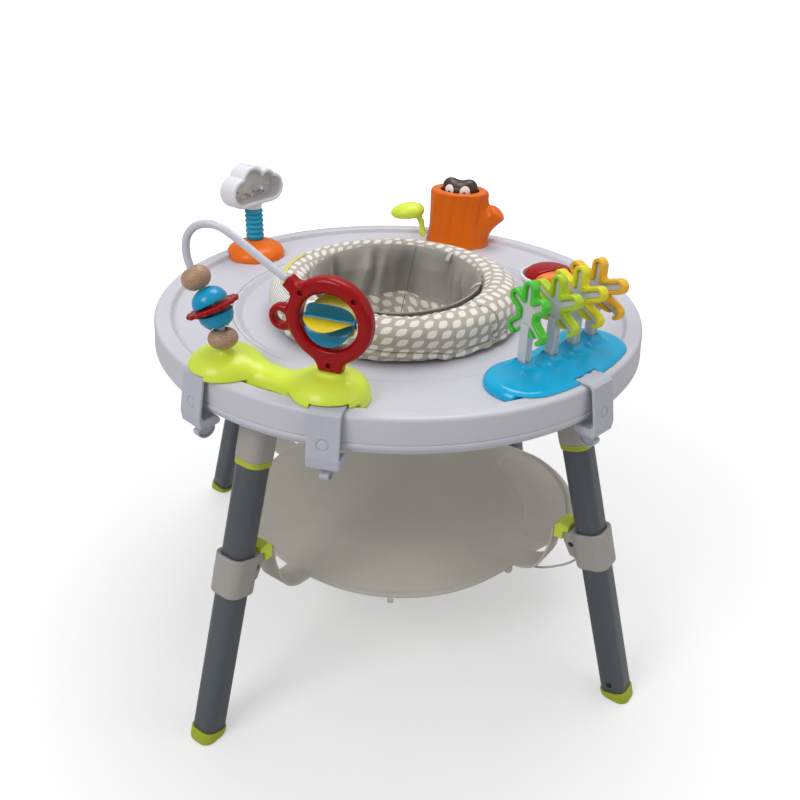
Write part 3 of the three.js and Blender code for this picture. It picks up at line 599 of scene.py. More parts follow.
def surface_nets(field, low, high, cell):
    """Quad mesh of field = 0 inside the box low..high."""
    axes = [np.arange(low[i] - cell, high[i] + 2 * cell, cell) for i in range(3)]
    grid = field(axes[0][:, None, None], axes[1][None, :, None], axes[2][None, None, :])
    grid = np.broadcast_to(np.asarray(grid, float), tuple(len(axis) for axis in axes))
    grid = np.where(grid == 0, 1e-6, grid)
    solid_at = grid < 0
    shape = [size - 1 for size in grid.shape]
    count = np.zeros(shape, np.int8)
    for i, j, k in product((0, 1), repeat=3):
        count += solid_at[i:i + shape[0], j:j + shape[1], k:k + shape[2]]
    active = (count > 0) & (count < 8)
    cells = np.argwhere(active)
    index = np.full(shape, -1, np.int64)
    index[active] = np.arange(len(cells))
    # a cell's vertex is the mean of the crossings on its edges
    total = np.zeros((len(cells), 3))
    crossings = np.zeros(len(cells))
    for axis in range(3):
        others = [i for i in range(3) if i != axis]
        for p, q in product((0, 1), repeat=2):
            start = np.zeros(3, int)
            start[others] = p, q
            end = start.copy()
            end[axis] += 1
            value_a = grid[tuple((cells + start).T)]
            value_b = grid[tuple((cells + end).T)]
            crossed = (value_a < 0) != (value_b < 0)
            share = np.where(crossed, value_a / np.where(crossed, value_a - value_b, 1), 0)
            place = np.repeat(start.astype(float)[None, :], len(cells), 0)
            place[:, axis] += share
            total[crossed] += place[crossed]
            crossings[crossed] += 1
    verts = (cells + total / np.maximum(crossings, 1)[:, None]) * cell
    verts = verts + np.array([axis[0] for axis in axes])
    # one quad round every crossed grid edge
    faces = []
    for axis in range(3):
        across, other = [i for i in range(3) if i != axis]
        before, after = [slice(None)] * 3, [slice(None)] * 3
        before[axis], after[axis] = slice(0, -1), slice(1, None)
        near_side, far_side = solid_at[tuple(before)], solid_at[tuple(after)]
        for flip in (False, True):
            edges = np.argwhere(~near_side & far_side if flip else near_side & ~far_side)
            inner = ((edges[:, across] > 0) & (edges[:, other] > 0)
                     & (edges[:, across] < shape[across]) & (edges[:, other] < shape[other]))
            edges = edges[inner]
            corners = []
            for step_a, step_b in ((-1, -1), (0, -1), (0, 0), (-1, 0)):
                corner = edges.copy()
                corner[:, across] += step_a
                corner[:, other] += step_b
                corners.append(index[tuple(corner.T)])
            quads = np.stack(corners, 1)
            faces.append(quads[:, ::-1] if flip != (axis == 1) else quads)
    # pull the vertices onto the true surface
    nudge = 0.02
    for _ in range(2):
        x, y, z = verts.T
        value = field(x, y, z)
        slope = np.stack([field(x + nudge, y, z) - field(x - nudge, y, z),
                          field(x, y + nudge, z) - field(x, y - nudge, z),
                          field(x, y, z + nudge) - field(x, y, z - nudge)], 1) / (2 * nudge)
        step = np.clip(value, -cell * 0.6, cell * 0.6) / np.maximum((slope ** 2).sum(1), 0.2)
        verts = verts - slope * step[:, None]
    return verts, np.concatenate(faces)


def solid(name, field, low, high, cell, mat, azimuth=0.0, shift=(0, 0, 0)):
    verts, faces = surface_nets(field, low, high, cell)
    return mesh_object(name, turn(verts, azimuth, shift), faces, mat)


# ---- outlines, lathes, lofts and sweeps
def fillet(points, radii, steps=4):
    """Round the corners of a closed outline; radii is one radius or one per corner."""
    points = np.asarray(points, float)
    count = len(points)
    radii = [radii] * count if np.isscalar(radii) else radii
    out = []
    for i, corner in enumerate(points):
        back, ahead = points[i - 1] - corner, points[(i + 1) % count] - corner
        back_len, ahead_len = np.linalg.norm(back), np.linalg.norm(ahead)
        back, ahead = back / back_len, ahead / ahead_len
        angle = acos(np.clip(back @ ahead, -1, 1))
        if radii[i] <= 0 or angle > 3.08:
            out.append(corner)
            continue
        reach = min(radii[i] / tan(angle / 2), back_len * 0.48, ahead_len * 0.48)
        start, end = corner + back * reach, corner + ahead * reach
        for k in range(steps + 1):
            t = k / steps
            out.append((1 - t) ** 2 * start + 2 * t * (1 - t) * corner + t * t * end)
    return np.array(out)


def spline(points, steps, closed=False):
    """Centripetal Catmull-Rom curve with a number of steps per span."""
    points = np.asarray(points, float)
    count = len(points)

    def between(first, second, start, end, t):
        return (end - t) / (end - start) * first + (t - start) / (end - start) * second

    out = []
    for i in range(count if closed else count - 1):
        if closed:
            p0, p1, p2, p3 = (points[(i + k) % count] for k in (-1, 0, 1, 2))
        else:
            p0, p1, p2, p3 = (points[min(max(i + k, 0), count - 1)] for k in (-1, 0, 1, 2))
        t0 = 0.0
        t1 = t0 + max(np.linalg.norm(p1 - p0), 1e-9) ** 0.5
        t2 = t1 + max(np.linalg.norm(p2 - p1), 1e-9) ** 0.5
        t3 = t2 + max(np.linalg.norm(p3 - p2), 1e-9) ** 0.5
        # open ends get a mirrored neighbour
        if t1 - t0 < 1e-4:
            p0 = p1 - (p2 - p1)
            t0 = t1 - (t2 - t1)
        if t3 - t2 < 1e-4:
            p3 = p2 + (p2 - p1)
            t3 = t2 + (t2 - t1)
        for k in range(steps):
            t = t1 + (t2 - t1) * k / steps
            first = between(p0, p1, t0, t1, t)
            second = between(p1, p2, t1, t2, t)
            third = between(p2, p3, t2, t3, t)
            out.append(between(between(first, second, t0, t2, t),
                               between(second, third, t1, t3, t), t1, t2, t))
    if not closed:
        out.append(points[-1])
    return np.array(out)


def arc_lengths(points):
    return np.concatenate([[0], np.cumsum(np.linalg.norm(np.diff(points, axis=0), axis=1))])


def tangents(points):
    """Unit tangents along an open curve."""
    ahead = np.gradient(points, axis=0)
    return ahead / np.linalg.norm(ahead, axis=1)[:, None]


def lathe(name, profile, mat, segments, shift=(0, 0, 0)):
    """Closed (radius, z) profile turned about Z."""
    profile = np.asarray(profile, float)
    area = np.sum(profile[:, 0] * np.roll(profile[:, 1], -1)
                  - np.roll(profile[:, 0], -1) * profile[:, 1])
    if area < 0:
        profile = profile[::-1]
    angles = np.arange(segments)[:, None] / segments * 2 * pi
    heights = np.repeat(profile[None, :, 1], segments, 0)
    verts = np.stack([profile[:, 0] * np.cos(angles), profile[:, 0] * np.sin(angles), heights], 2)
    count = len(profile)
    faces = []
    for i in range(segments):
        here, there = i * count, (i + 1) % segments * count
        for j in range(count):
            after = (j + 1) % count
            faces.append((here + j, there + j, there + after, here + after))
    return mesh_object(name, verts.reshape(-1, 3) + np.array(shift, float), faces, mat)


def loft(name, rings, mat, hollow=False):
    """Skin over rings of equal size; a hollow one joins its last ring to its first."""
    size, count = len(rings[0]), len(rings)
    faces = []
    for i in range(count if hollow else count - 1):
        here, there = i * size, (i + 1) % count * size
        for j in range(size):
            after = (j + 1) % size
            faces.append((here + j, here + after, there + after, there + j))
    if not hollow:
        faces.append(tuple(range(size))[::-1])
        faces.append(tuple((count - 1) * size + j for j in range(size)))
    return mesh_object(name, np.concatenate(rings), faces, mat)


def sweep(name, path, radius, mat, segments, cap=True):
    """Round tube along a path."""
    path = np.asarray(path, float)
    ahead = tangents(path)
    side = np.cross(ahead[0], [0.3, 0.9, 0.2])
    side /= np.linalg.norm(side)
    verts, faces = [], []
    for i in range(len(path)):
        side = side - ahead[i] * (side @ ahead[i])
        side /= np.linalg.norm(side)
        other = np.cross(ahead[i], side)
        for k in range(segments):
            angle = k / segments * 2 * pi
            verts.append(path[i] + radius * (cos(angle) * side + sin(angle) * other))
    last = (len(path) - 1) * segments
    for here in range(0, last, segments):
        for k in range(segments):
            after = (k + 1) % segments
            faces.append((here + k, here + after, here + segments + after, here + segments + k))
    if cap:
        faces.append(tuple(range(segments))[::-1])
        faces.append(tuple(last + k for k in range(segments)))
    return mesh_object(name, verts, faces, mat)


def merge(parts):
    """Join (verts, faces) pairs into one."""
    verts, faces, base = [], [], 0
    for part_verts, part_faces in parts:
        verts.append(part_verts)
        faces += [tuple(base + k for k in face) for face in part_faces]
        base += len(part_verts)
    return np.concatenate(verts), faces


# ------------------------------------------------------------------ tray and turntable
# radius, z, corner radius
TRAY_PROFILE = [
    (224, 493, 0.6), (241, 493, 0.6), (241, 505, 2), (320, 505, 2), (323.5, 513, 2),
    (338, 513, 3), (341, 484, 3), (336.6, 469.3, 0.5), (341, 469.3, 1.5), (345.2, 477, 1.2),
    (345.2, 480.2, 0.5), (343.7, 481.4, 0.3), (343.7, 482.4, 0.3), (344.6, 483.6, 0.5),
    (342.6, 516, 6.5), (321, 516, 4), (317.6, 508, 4), (238.2, 508, 1.6), (238.2, 496, 1),
    (224, 496, 0.6)]
UNDERSIDE_PROFILE = [
    (226, 469.3, 1.2), (336.3, 469.3, 1), (336.3, 472.3, 1), (229, 472.3, 1.5),
    (229, 492.7, 0.8), (226, 492.7, 0.8)]
TURNTABLE_PROFILE = [
    (140, 496.3, 0.8), (219, 496.3, 0.8), (219, 488, 1), (222, 488, 1), (222, 496.3, 0.8),
    (237.7, 496.3, 0.8), (237.7, 507.6, 1.3), (233.4, 507.6, 3), (224, 500.6, 6),
    (206, 500, 2), (140, 500, 1.2)]
# radius, z and half thickness at the corners of a stiffening rib
RIB_CORNERS = [(243, 466.2, 1.1), (332, 466.2, 1.1), (332, 469.6, 1.3), (243, 469.6, 1.3)]
RIB_COUNT, RIB_START = 16, 7


def filleted(table, steps):
    """Outline from a table of radius, z and corner radius."""
    return fillet([row[:2] for row in table], [row[2] for row in table], steps)


def underside_ribs():
    verts, faces = [], []
    for k in range(RIB_COUNT):
        base = len(verts)
        rib = [(radius, side * half, z) for radius, z, half in RIB_CORNERS for side in (-1, 1)]
        verts += turn(rib, k * 360 / RIB_COUNT + RIB_START).tolist()
        faces += [tuple(base + q for q in face) for face in (
            (0, 2, 3, 1), (2, 4, 5, 3), (4, 6, 7, 5), (6, 0, 1, 7), (0, 6, 4, 2), (1, 3, 5, 7))]
    obj = mesh_object("underside_ribs", verts, faces, MAT["under"], smooth=False)
    bevel = obj.modifiers.new("edge", "BEVEL")
    bevel.width, bevel.segments = 0.0004, 2
    put(obj, "frame")


put(lathe("tray_shell", filleted(TRAY_PROFILE, 5), MAT["tray"], 256),
    "frame", "tray", slot="tray_plastic")
put(lathe("tray_underside", filleted(UNDERSIDE_PROFILE, 3), MAT["under"], 224),
    "frame", "tray_lower_ring", slot="tray_plastic")
underside_ribs()
put(lathe("seat_turntable", filleted(TURNTABLE_PROFILE, 6), MAT["ring"], 256),
    "seat", "seat_ring", slot="ring_plastic")

# ------------------------------------------------------------------ legs
# A leg's own frame has Z up the leg and X outwards, with its origin on the floor.
LEG_FOOT_RADIUS, LEG_TOP_RADIUS, LEG_TOP_Z = 421.2, 277.8, 469
LEG_TILT = atan2(LEG_FOOT_RADIUS - LEG_TOP_RADIUS, LEG_TOP_Z)
TILT_COS, TILT_SIN = cos(LEG_TILT), sin(LEG_TILT)
FOOT_SCREW_Z, FOOT_SCREW_Y = 26.5, -20.6
CLAMP_SCREW_X, CLAMP_SCREW_Z = 318.5, 232.5     # upright radial plane

# Stations along a leg: width, corner radius, height along the leg. A fourth entry marks a
# section cut level at that height above the floor.
TUBE = ([(36.6, 12.3, 9), (38, 13, 9.8)] + [(38, 13, s) for s in np.linspace(40, 440, 9)]
        + [(38, 13, 480), (34, 11, 480.5), (34, 11, 9.4)])
COLLAR = [(38.7, 13.3, 413), (42.2, 14.6, 413), (43, 15, 413.8), (43.2, 15, 430),
          (43.2, 15, 450), (43.2, 15, 468.7, "level"), (38.7, 13.3, 468.9, "level")]
BAND = [(38.4, 13.2, 404.5), (40.6, 14, 404.6), (41.8, 14.5, 405.6), (41.8, 14.5, 408.2),
        (41.0, 14.2, 408.7), (41.0, 14.2, 409.4), (42.2, 14.6, 410.0), (42.2, 14.6, 412.6),
        (38.4, 13.2, 412.9)]
FOOT = [(38.8, 13.3, 13), (40.6, 14, 13), (41.5, 14.5, 12), (41.5, 14.5, 3.0, "level"),
        (40.4, 14, 0.9, "level"), (38.0, 13.2, 0.0, "level")]
# radius and z in the upright radial plane
CLAMP_WING = [(336, 211), (322, 256), (305, 251.5), (303.5, 240), (319, 214)]
HOOK = [(313, 254.6), (313, 262), (298, 264), (292, 257), (292, 238), (305.5, 238), (305.5, 251)]


def leg_world(verts, azimuth):
    tilt = np.array([[TILT_COS, 0, -TILT_SIN], [0, 1, 0], [TILT_SIN, 0, TILT_COS]])
    return turn(verts @ tilt.T + np.array([LEG_FOOT_RADIUS, 0, 0]), azimuth)


def leg_section(width, corner, height, level=None, steps=9):
    """Rounded square ring across the leg."""
    half = width / 2 - corner
    points = []
    for quarter, (sign_x, sign_y) in enumerate(((1, 1), (-1, 1), (-1, -1), (1, -1))):
        for i in range(steps):
            angle = (quarter + i / (steps - 1)) * pi / 2
            x = sign_x * half + corner * cos(angle)
            y = sign_y * half + corner * sin(angle)
            z = (height - TILT_SIN * x) / TILT_COS if level else float(height)
            points.append((x, y, z))
    return np.array(points)


def leg_loft(name, stations, azimuth, mat, sharp=50, hollow=True):
    rings = [leg_world(leg_section(*station), azimuth) for station in stations]
    obj = loft(name, rings, mat, hollow)
    sharpen(obj, sharp)
    return obj


def foot_screw(x, y, z):
    head = cylinder(x, y, z, (0, FOOT_SCREW_Y, FOOT_SCREW_Z), (0, -16.5, FOOT_SCREW_Z), 3.6, 0.9)
    return np.maximum(head, -cross(x, y - FOOT_SCREW_Y, z - FOOT_SCREW_Z, 2.4, 1.2, 0.6))


def clamp(x, y, z):
    """Sleeve round the leg with a wing towards the middle, where the platform hook hangs."""
    sleeve = rect(x, y, 48, 48, 15)
    radius = LEG_FOOT_RADIUS + TILT_COS * x - TILT_SIN * z
    height = TILT_SIN * x + TILT_COS * z
    wing = slab(polygon(radius, height, CLAMP_WING) - 0.5, y, 11, 3.5)
    body = soft_min(slab(sleeve, z - 250.3, 27.6, 3.2), wing, 4.0)
    body = np.maximum(body, -rect(x, y, 38.5, 38.5, 13.2))
    lip = slab(np.abs(sleeve + 1.2) - 1.2, z - 276.4, 2.2, 1.0)
    body = soft_min(body, lip, 1.0)
    # screw wells on both faces of the wing
    away = length(radius - CLAMP_SCREW_X, height - CLAMP_SCREW_Z)
    return cut(body, slab(away - 4.2, np.abs(y) - 12, 4.0, 0.8), 0.6)


def clamp_screw(side):
    """Mesh of the slotted screw on one face of the wing."""
    def field(x, y, z):
        head = cylinder(x, y, z, (CLAMP_SCREW_X, side * 7.6, CLAMP_SCREW_Z),
                        (CLAMP_SCREW_X, side * 9.6, CLAMP_SCREW_Z), 3.5, 0.7)
        slot = box(x - CLAMP_SCREW_X, y - side * 9.6, z - CLAMP_SCREW_Z, 2.6, 0.9, 0.7, 0.2)
        return cut(head, slot, 0.2)
    low_y, high_y = sorted((side * 6, side * 11))
    return surface_nets(field, (313, low_y, 227), (324, high_y, 238), 0.55)


def hook(x, y, z):
    body = slab(polygon(x, z, HOOK), y, 15, 1.8)
    slot = slab(rect(y, z - 246, 14, 6, 2.5), x - 292, 2.2, 0.6)
    return cut(body, slot, 0.8)


def build_legs():
    foot_screw_verts, foot_screw_faces = surface_nets(
        foot_screw, (-5, -22, FOOT_SCREW_Z - 5), (5, -15, FOOT_SCREW_Z + 5), 0.45)
    clamp_verts, clamp_faces = surface_nets(clamp, (-62, -26, 205), (26, 26, 283), 1.3)
    clamp_screws = {side: clamp_screw(side) for side in (-1, 1)}
    hook_verts, hook_faces = surface_nets(hook, (288, -17, 234), (316, 17, 267), 0.9)
    for corner, azimuth in LEG_AZIMUTHS.items():
        put(leg_loft("leg_pole_" + corner, TUBE, azimuth, MAT["leg"]),
            "frame", "leg_tube_" + corner, slot="leg_metal")
        put(mesh_object("foot_screw_" + corner, leg_world(foot_screw_verts, azimuth),
                        foot_screw_faces, MAT["dark"]), "frame")
        put(leg_loft("leg_collar_" + corner, COLLAR, azimuth, MAT["grey"]),
            "frame", "leg_socket_" + corner, slot="grey_plastic")
        put(leg_loft("leg_band_" + corner, BAND, azimuth, MAT["lime_trim"], sharp=60), "frame")
        put(mesh_object("leg_clamp_" + corner, leg_world(clamp_verts, azimuth), clamp_faces,
                        MAT["grey"]), "frame", "leg_bracket_" + corner, slot="grey_plastic")
        for side, (verts, faces) in clamp_screws.items():
            put(mesh_object("clamp_screw_%s_%d" % (corner, side + 1), turn(verts, azimuth),
                            faces, MAT["dark"]), "frame")
        put(leg_loft("leg_foot_cap_" + corner, FOOT, azimuth, MAT["lime_trim"], hollow=False),
            "frame", "leg_foot_" + corner, slot="lime_plastic")
        put(mesh_object("strap_hook_" + corner, turn(hook_verts, azimuth), hook_faces,
                        MAT["lime"]), "frame", "platform_hook_" + corner, slot="lime_plastic")


build_legs()

# ------------------------------------------------------------------ foot platform
PLATFORM_TOP = 165.0
PLATFORM_SINK = 0.9     # how far the plain top lies below PLATFORM_TOP
PLATFORM_DISH = 1.2     # extra depth at the centre
# azimuth, radius of the platform's edge
PLATFORM_OUTLINE = np.array([
    (-180, 236), (-165, 236), (-150, 234), (-135, 229), (-120, 229), (-105, 233), (-90, 236),
    (-75, 238), (-60, 238), (-48, 238), (-38, 242), (-31, 247), (-24, 262), (-17, 281),
    (-10, 292), (0, 297), (10, 298), (18, 295), (25, 290), (32, 280), (38, 270), (46, 255),
    (55, 244), (68, 239), (84, 237), (100, 236), (116, 236), (132, 236), (148, 236),
    (164, 236)], float)
# x, y of the kidney-shaped recess on the right-hand lobe
KIDNEY = spline([
    (184, 105), (196, 134), (224, 146), (248, 132), (262, 112), (276, 78), (284, 40), (285, 4),
    (279, -34), (264, -68), (246, -88), (226, -97), (211, -90), (207, -72), (213, -44),
    (216, -12), (213, 20), (205, 52), (193, 82)], 5, closed=True)
# radial offset from the last ring of the top, z: rolled edge and underside
PLATFORM_EDGE = [(0.9, 164.3), (1.3, 163.2), (1.3, 161.2), (0.8, 160.3), (-0.4, 160.0),
                 (-8, 160.0), (-10, 161.0), (-90, 160.6)]
TAB_AZIMUTHS = (-90, -43, -152, 118, 62)
# radius, z of a strap from the platform up to the hook
STRAP = [(206, 162.0), (220, 162.0), (236, 162.2), (250, 164.3), (264, 170.5), (274, 179),
         (281, 192), (285.4, 208), (288, 222), (289.4, 236), (289.8, 251)]
STRAP_HALF_WIDTH, STRAP_NARROWING, STRAP_HALF_THICK = 22, 6.6, 1.9
# x, y, z
CORD = [(277, -196, 229), (268, -196, 214), (256, -190, 196), (238, -178, 178),
        (215, -160, 160.5), (190, -140, 156.5)]


def platform_radius(azimuth):
    """Edge radius, smoothed over neighbouring azimuths."""
    angles, radii = PLATFORM_OUTLINE.T
    angles = np.concatenate([angles - 360, angles, angles + 360])
    radii = np.tile(radii, 3)
    return sum(weight * np.interp(azimuth + step, angles, radii) for step, weight in
               ((-5, 0.15), (-2.5, 0.2), (0, 0.3), (2.5, 0.2), (5, 0.15)))


def platform_plate():
    around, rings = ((360, 70))
    azimuths = np.linspace(-180, 180, around, endpoint=False)
    edge_radius = platform_radius(azimuths)
    cosines, sines = np.cos(np.radians(azimuths)), np.sin(np.radians(azimuths))
    share = np.concatenate([np.linspace(0, 0.6, rings // 3, endpoint=False)[1:],
                            np.linspace(0.6, 1.0, rings - rings // 3)])
    radius = edge_radius[:, None] * share
    x, y = radius * cosines[:, None], radius * sines[:, None]
    kidney = polygon(x, y, KIDNEY)
    slope = np.clip((kidney + 0.6) / 2.6, 0, 1)
    recess = 1 - slope * slope * (3 - 2 * slope)
    bead = 0.7 * np.exp(-((kidney - 3.4) / 1.6) ** 2)
    dish = -PLATFORM_DISH * (1 - share ** 2)
    lip = 0.9 * np.exp(-((edge_radius[:, None] - radius - 4) / 3.0) ** 2)
    z = PLATFORM_TOP - 2.9 * recess + bead + dish + lip - PLATFORM_SINK
    verts = np.stack([x, y, np.minimum(z, PLATFORM_TOP)], 2).reshape(-1, 3).tolist()
    count = len(share)
    faces = []
    for i in range(around):
        here, there = i * count, (i + 1) % around * count
        for j in range(count - 1):
            faces.append((here + j, here + j + 1, there + j + 1, there + j))
    center = len(verts)
    verts.append((0, 0, PLATFORM_TOP - PLATFORM_DISH - PLATFORM_SINK))
    for i in range(around):
        faces.append((center, i * count, (i + 1) % around * count))
    last = [i * count + count - 1 for i in range(around)]
    for offset, height in PLATFORM_EDGE:
        ring = list(range(len(verts), len(verts) + around))
        ring_radius = edge_radius - 1.3 + offset
        verts += [(ring_radius[i] * cosines[i], ring_radius[i] * sines[i], height)
                  for i in range(around)]
        for i in range(around):
            after = (i + 1) % around
            faces.append((last[i], ring[i], ring[after], last[after]))
        last = ring
    faces.append(tuple(last[::-1]))
    obj = mesh_object("platform_plate", verts, faces, MAT["platform"])
    sharpen(obj, 40)
    put(obj, "platform", "foot_platform", slot="platform_plastic")


def platform_tabs():
    """Small tabs under the platform's edge."""
    def tab(x, y, z):
        return slab(rect(x, z - 156.5, 11, 9, 2.0), y, 4.5, 1.0)
    for k, azimuth in enumerate(TAB_AZIMUTHS):
        put(solid("platform_tab_%d" % k, tab, (-7, -6, 150), (7, 6, 163), 0.9, MAT["platform"],
                  azimuth, polar(0.985 * float(platform_radius(azimuth)), azimuth)), "platform")


def spring_straps():
    path = spline(STRAP, 7)
    ahead = tangents(path)
    normal = np.stack([-ahead[:, 1], ahead[:, 0]], 1)
    along = arc_lengths(path)
    rings = []
    for point, out, share in zip(path, normal, along / along[-1]):
        narrow = min(1.0, max(0.0, (share - 0.45) / 0.35)) ** 1.5
        half, thick = STRAP_HALF_WIDTH - STRAP_NARROWING * narrow, STRAP_HALF_THICK
        outline = fillet([(-half, -thick), (half, -thick), (half, thick), (-half, thick)],
                         1.3, steps=3)
        rings.append(np.array([(point[0] + out[0] * rise, y, point[1] + out[1] * rise)
                               for y, rise in outline]))
    for corner, azimuth in LEG_AZIMUTHS.items():
        obj = loft("spring_strap_" + corner, [turn(ring, azimuth) for ring in rings],
                   MAT["platform"])
        sharpen(obj, 45)
        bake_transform(obj)


platform_plate()
platform_tabs()
spring_straps()
# thin cord beside the front right strap
put(sweep("strap_cord", spline(CORD, 8), 1.6, MAT["platform"], 12), "platform")


# ------------------------------------------------------------------ fit of the toys on the rim
def rim_space(x, y, z):
    """Space taken by the raised rim of the tray."""
    radius = length(x, y)
    return common(316.0 - radius, radius - 356, z - 516.5)


def fit_rim(body, x, y, z, *clips):
    """Clear the rim and the named clips out of a toy's base."""
    body = cut(body, rim_space(x, y, z), 0.6)
    for clip_name in clips:
        out, side = local(x, y, CLIP_AZIMUTHS[clip_name])
        body = cut(body, common(322.4 - out, out - 362, np.abs(side) - 21.6, z - 521.2), 0.6)
    return body


# ------------------------------------------------------------------ bead toy
WIRE_FOOT = (-204, -240)
SPINNER = (-73.5, -285.5, 606.0)
SPINNER_AZIMUTH = -19.4
LEFT_MOUND, RIGHT_MOUND = (-207, -229), (-75, -284)
# x, y, z
WIRE = [(*WIRE_FOOT, 533), (*WIRE_FOOT, 550), (-205, -239.6, 565), (-209, -238.2, 582),
        (-215, -236.1, 598), (-222, -233.6, 612), (-231, -230.4, 628), (-237.5, -228.2, 642),
        (-241, -226.9, 658), (-238.5, -227.8, 676), (-229, -231.1, 689), (-214, -236.4, 695.5),
        (-198, -242, 694.5), (-180, -248.4, 685), (-162, -254.7, 673), (-143, -261.4, 660),
        (-121.3, -269.1, 646)]
# CAD node: centre, direction of the bead's axis, body
BEADS = {
    "bead_bottom": ((-204.37, -239.84, 558.99), (-.06763, .02773, .99733), "lower_bead"),
    "planet_lower": ((-209.2, -238.13, 582.66), (-.29502, .10312, .94991), "planet_low"),
    "planet_disc": ((-214.34, -236.33, 596.46), (-.38798, .13679, .91146), "planet_ring"),
    "planet_upper": ((-219.92, -234.34, 608.06), (-.45888, .16424, .87319), "planet_high"),
    "bead_top": ((-231.73, -230.15, 629.42), (-.45502, .15614, .87669), "upper_bead"),
}
BORE = 6.0


def bead_base(x, y, z):
    """Two mounds joined by a low ridge, with collars under the wire and the spinner."""
    height = z - TOY_FOOT_Z
    left_end, right_end = (degrees(atan2(my, mx)) for mx, my in (LEFT_MOUND, RIGHT_MOUND))
    left = dome(length(x - LEFT_MOUND[0], y - LEFT_MOUND[1]), height, 46, 33.2, 2.5)
    right = dome(length(x - RIGHT_MOUND[0], y - RIGHT_MOUND[1]), height, 47.5, 33.6, 2.5)
    ridge = dome(arc_distance(x, y, 290.0, left_end, right_end), height, 19.0, 17.5, 2.5)
    body = soft_min(soft_min(left, ridge, 17), soft_min(right, ridge, 17), 4)
    wire_collar = slab(length(x - WIRE_FOOT[0], y - WIRE_FOOT[1]) - 5.8, z - 540, 7.5, 1.2)
    body = soft_min(body, wire_collar, 7)
    neck_x, neck_y = local(x, y, SPINNER_AZIMUTH, SPINNER)
    body = soft_min(body, slab(rect(neck_x, neck_y, 29, 23, 9), z - 539, 5.0, 1.0), 8)
    body = soft_max(body, TOY_FOOT_Z - z, 0.8)
    return fit_rim(body, x, y, z, "bead_left", "bead_right")


def put_bead(obj, node, slot):
    """Move a bead from the origin to its place on the wire."""
    center, direction, body = BEADS[node]
    pose = Vector((0, 0, 1)).rotation_difference(Vector(direction)).to_matrix().to_4x4()
    pose.translation = Vector(center) * MM
    obj.data.transform(pose)
    put(obj, body, node, slot=slot)


def wood_bead(node, radius, half_height):
    profile = [(BORE, -half_height)]
    for k in range(25):
        angle = radians(-66 + 132 * k / 24)
        profile.append((max(BORE, radius * cos(angle) ** 0.92),
                        half_height * sin(angle) / sin(radians(66))))
    profile.append((BORE, half_height))
    obj = lathe("wood_" + node, fillet(profile, 0.8, steps=3), MAT["wood"], 96)
    put_bead(obj, node, "wood")


def planet_cap():
    profile = [(BORE, -7.8), (21.5, -7.8)]
    profile += [(21.5 * cos(radians(t)) ** 0.85, -7.0 + 17.8 * sin(radians(t)))
                for t in range(6, 72, 6)]
    profile += [(7.6, 10.3), (BORE, 10.3)]
    obj = lathe("planet_cap", fillet(profile, 0.7, steps=3), MAT["planet"], 112)
    put_bead(obj, "planet_upper", "blue_plastic")


def planet_bowl(x, y, z):
    radius = length(x, y)
    body = polygon(radius, z, [(0, -9.5), (12.2, -9.5), (17.2, -5.2), (20.3, 1), (21.6, 8.9),
                               (0, 8.9)])
    body = soft_max(body, BORE - radius, 0.5)
    # six arched notches round the narrow lower end
    count = 6
    angle = (np.arctan2(y, x) + pi / count) % (2 * pi / count) - pi / count
    notch = np.maximum(length(radius * np.sin(angle), z + 10.2) - 5.0, 8.2 - radius)
    return cut(body, notch, 1.2)


def planet_disc(x, y, z):
    """Toothed disc with a shallow groove between the teeth and the middle."""
    radius = length(x, y)
    teeth = np.tanh(2.2 * np.cos(16 * np.arctan2(y, x))) / 0.976
    body = slab((radius - (30.9 + 1.6 * teeth)) * 0.8, z, 2.4, 1.0)
    body = soft_min(body, slab(radius - 21.5, z, 2.5, 0.8), 1.2)
    body = cut(body, length(radius - 25.6, np.abs(z) - 2.9) - 1.3, 0.6)
    return soft_max(body, BORE - radius, 0.3)


put(solid("bead_toy_base", bead_base, (-258, -334, 506), (-24, -178, 549), 1.35, MAT["lime"]),
    "frame", "bead_base", slot="lime_plastic")
put(sweep("toy_wire", spline(WIRE, 9), 4.6, MAT["wire"], 28),
    "frame", "bead_wire", slot="white_plastic")
wood_bead("bead_bottom", 18.0, 11.5)
wood_bead("bead_top", 17.5, 12.8)
planet_cap()
put_bead(solid("planet_bowl", planet_bowl, (-23, -23, -11), (23, 23, 10), 0.85, MAT["planet"]),
         "planet_lower", "blue_plastic")
put_bead(solid("planet_disc_wheel", planet_disc, (-34, -34, -4), (34, 34, 4), 0.75,
               MAT["disc"]), "planet_disc", "red_plastic")

# ------------------------------------------------------------------ spinner
# Its own frame is centred in the ring, with X along the axle and the ring's faces at +-Y.
SPINNER_SCREWS = [(-31.5, 30.5), (31.5, 30.0), (0.5, -52.0)]    # x, z
VANE_RADIUS = 30.3
VANE_ROOT = 2.9


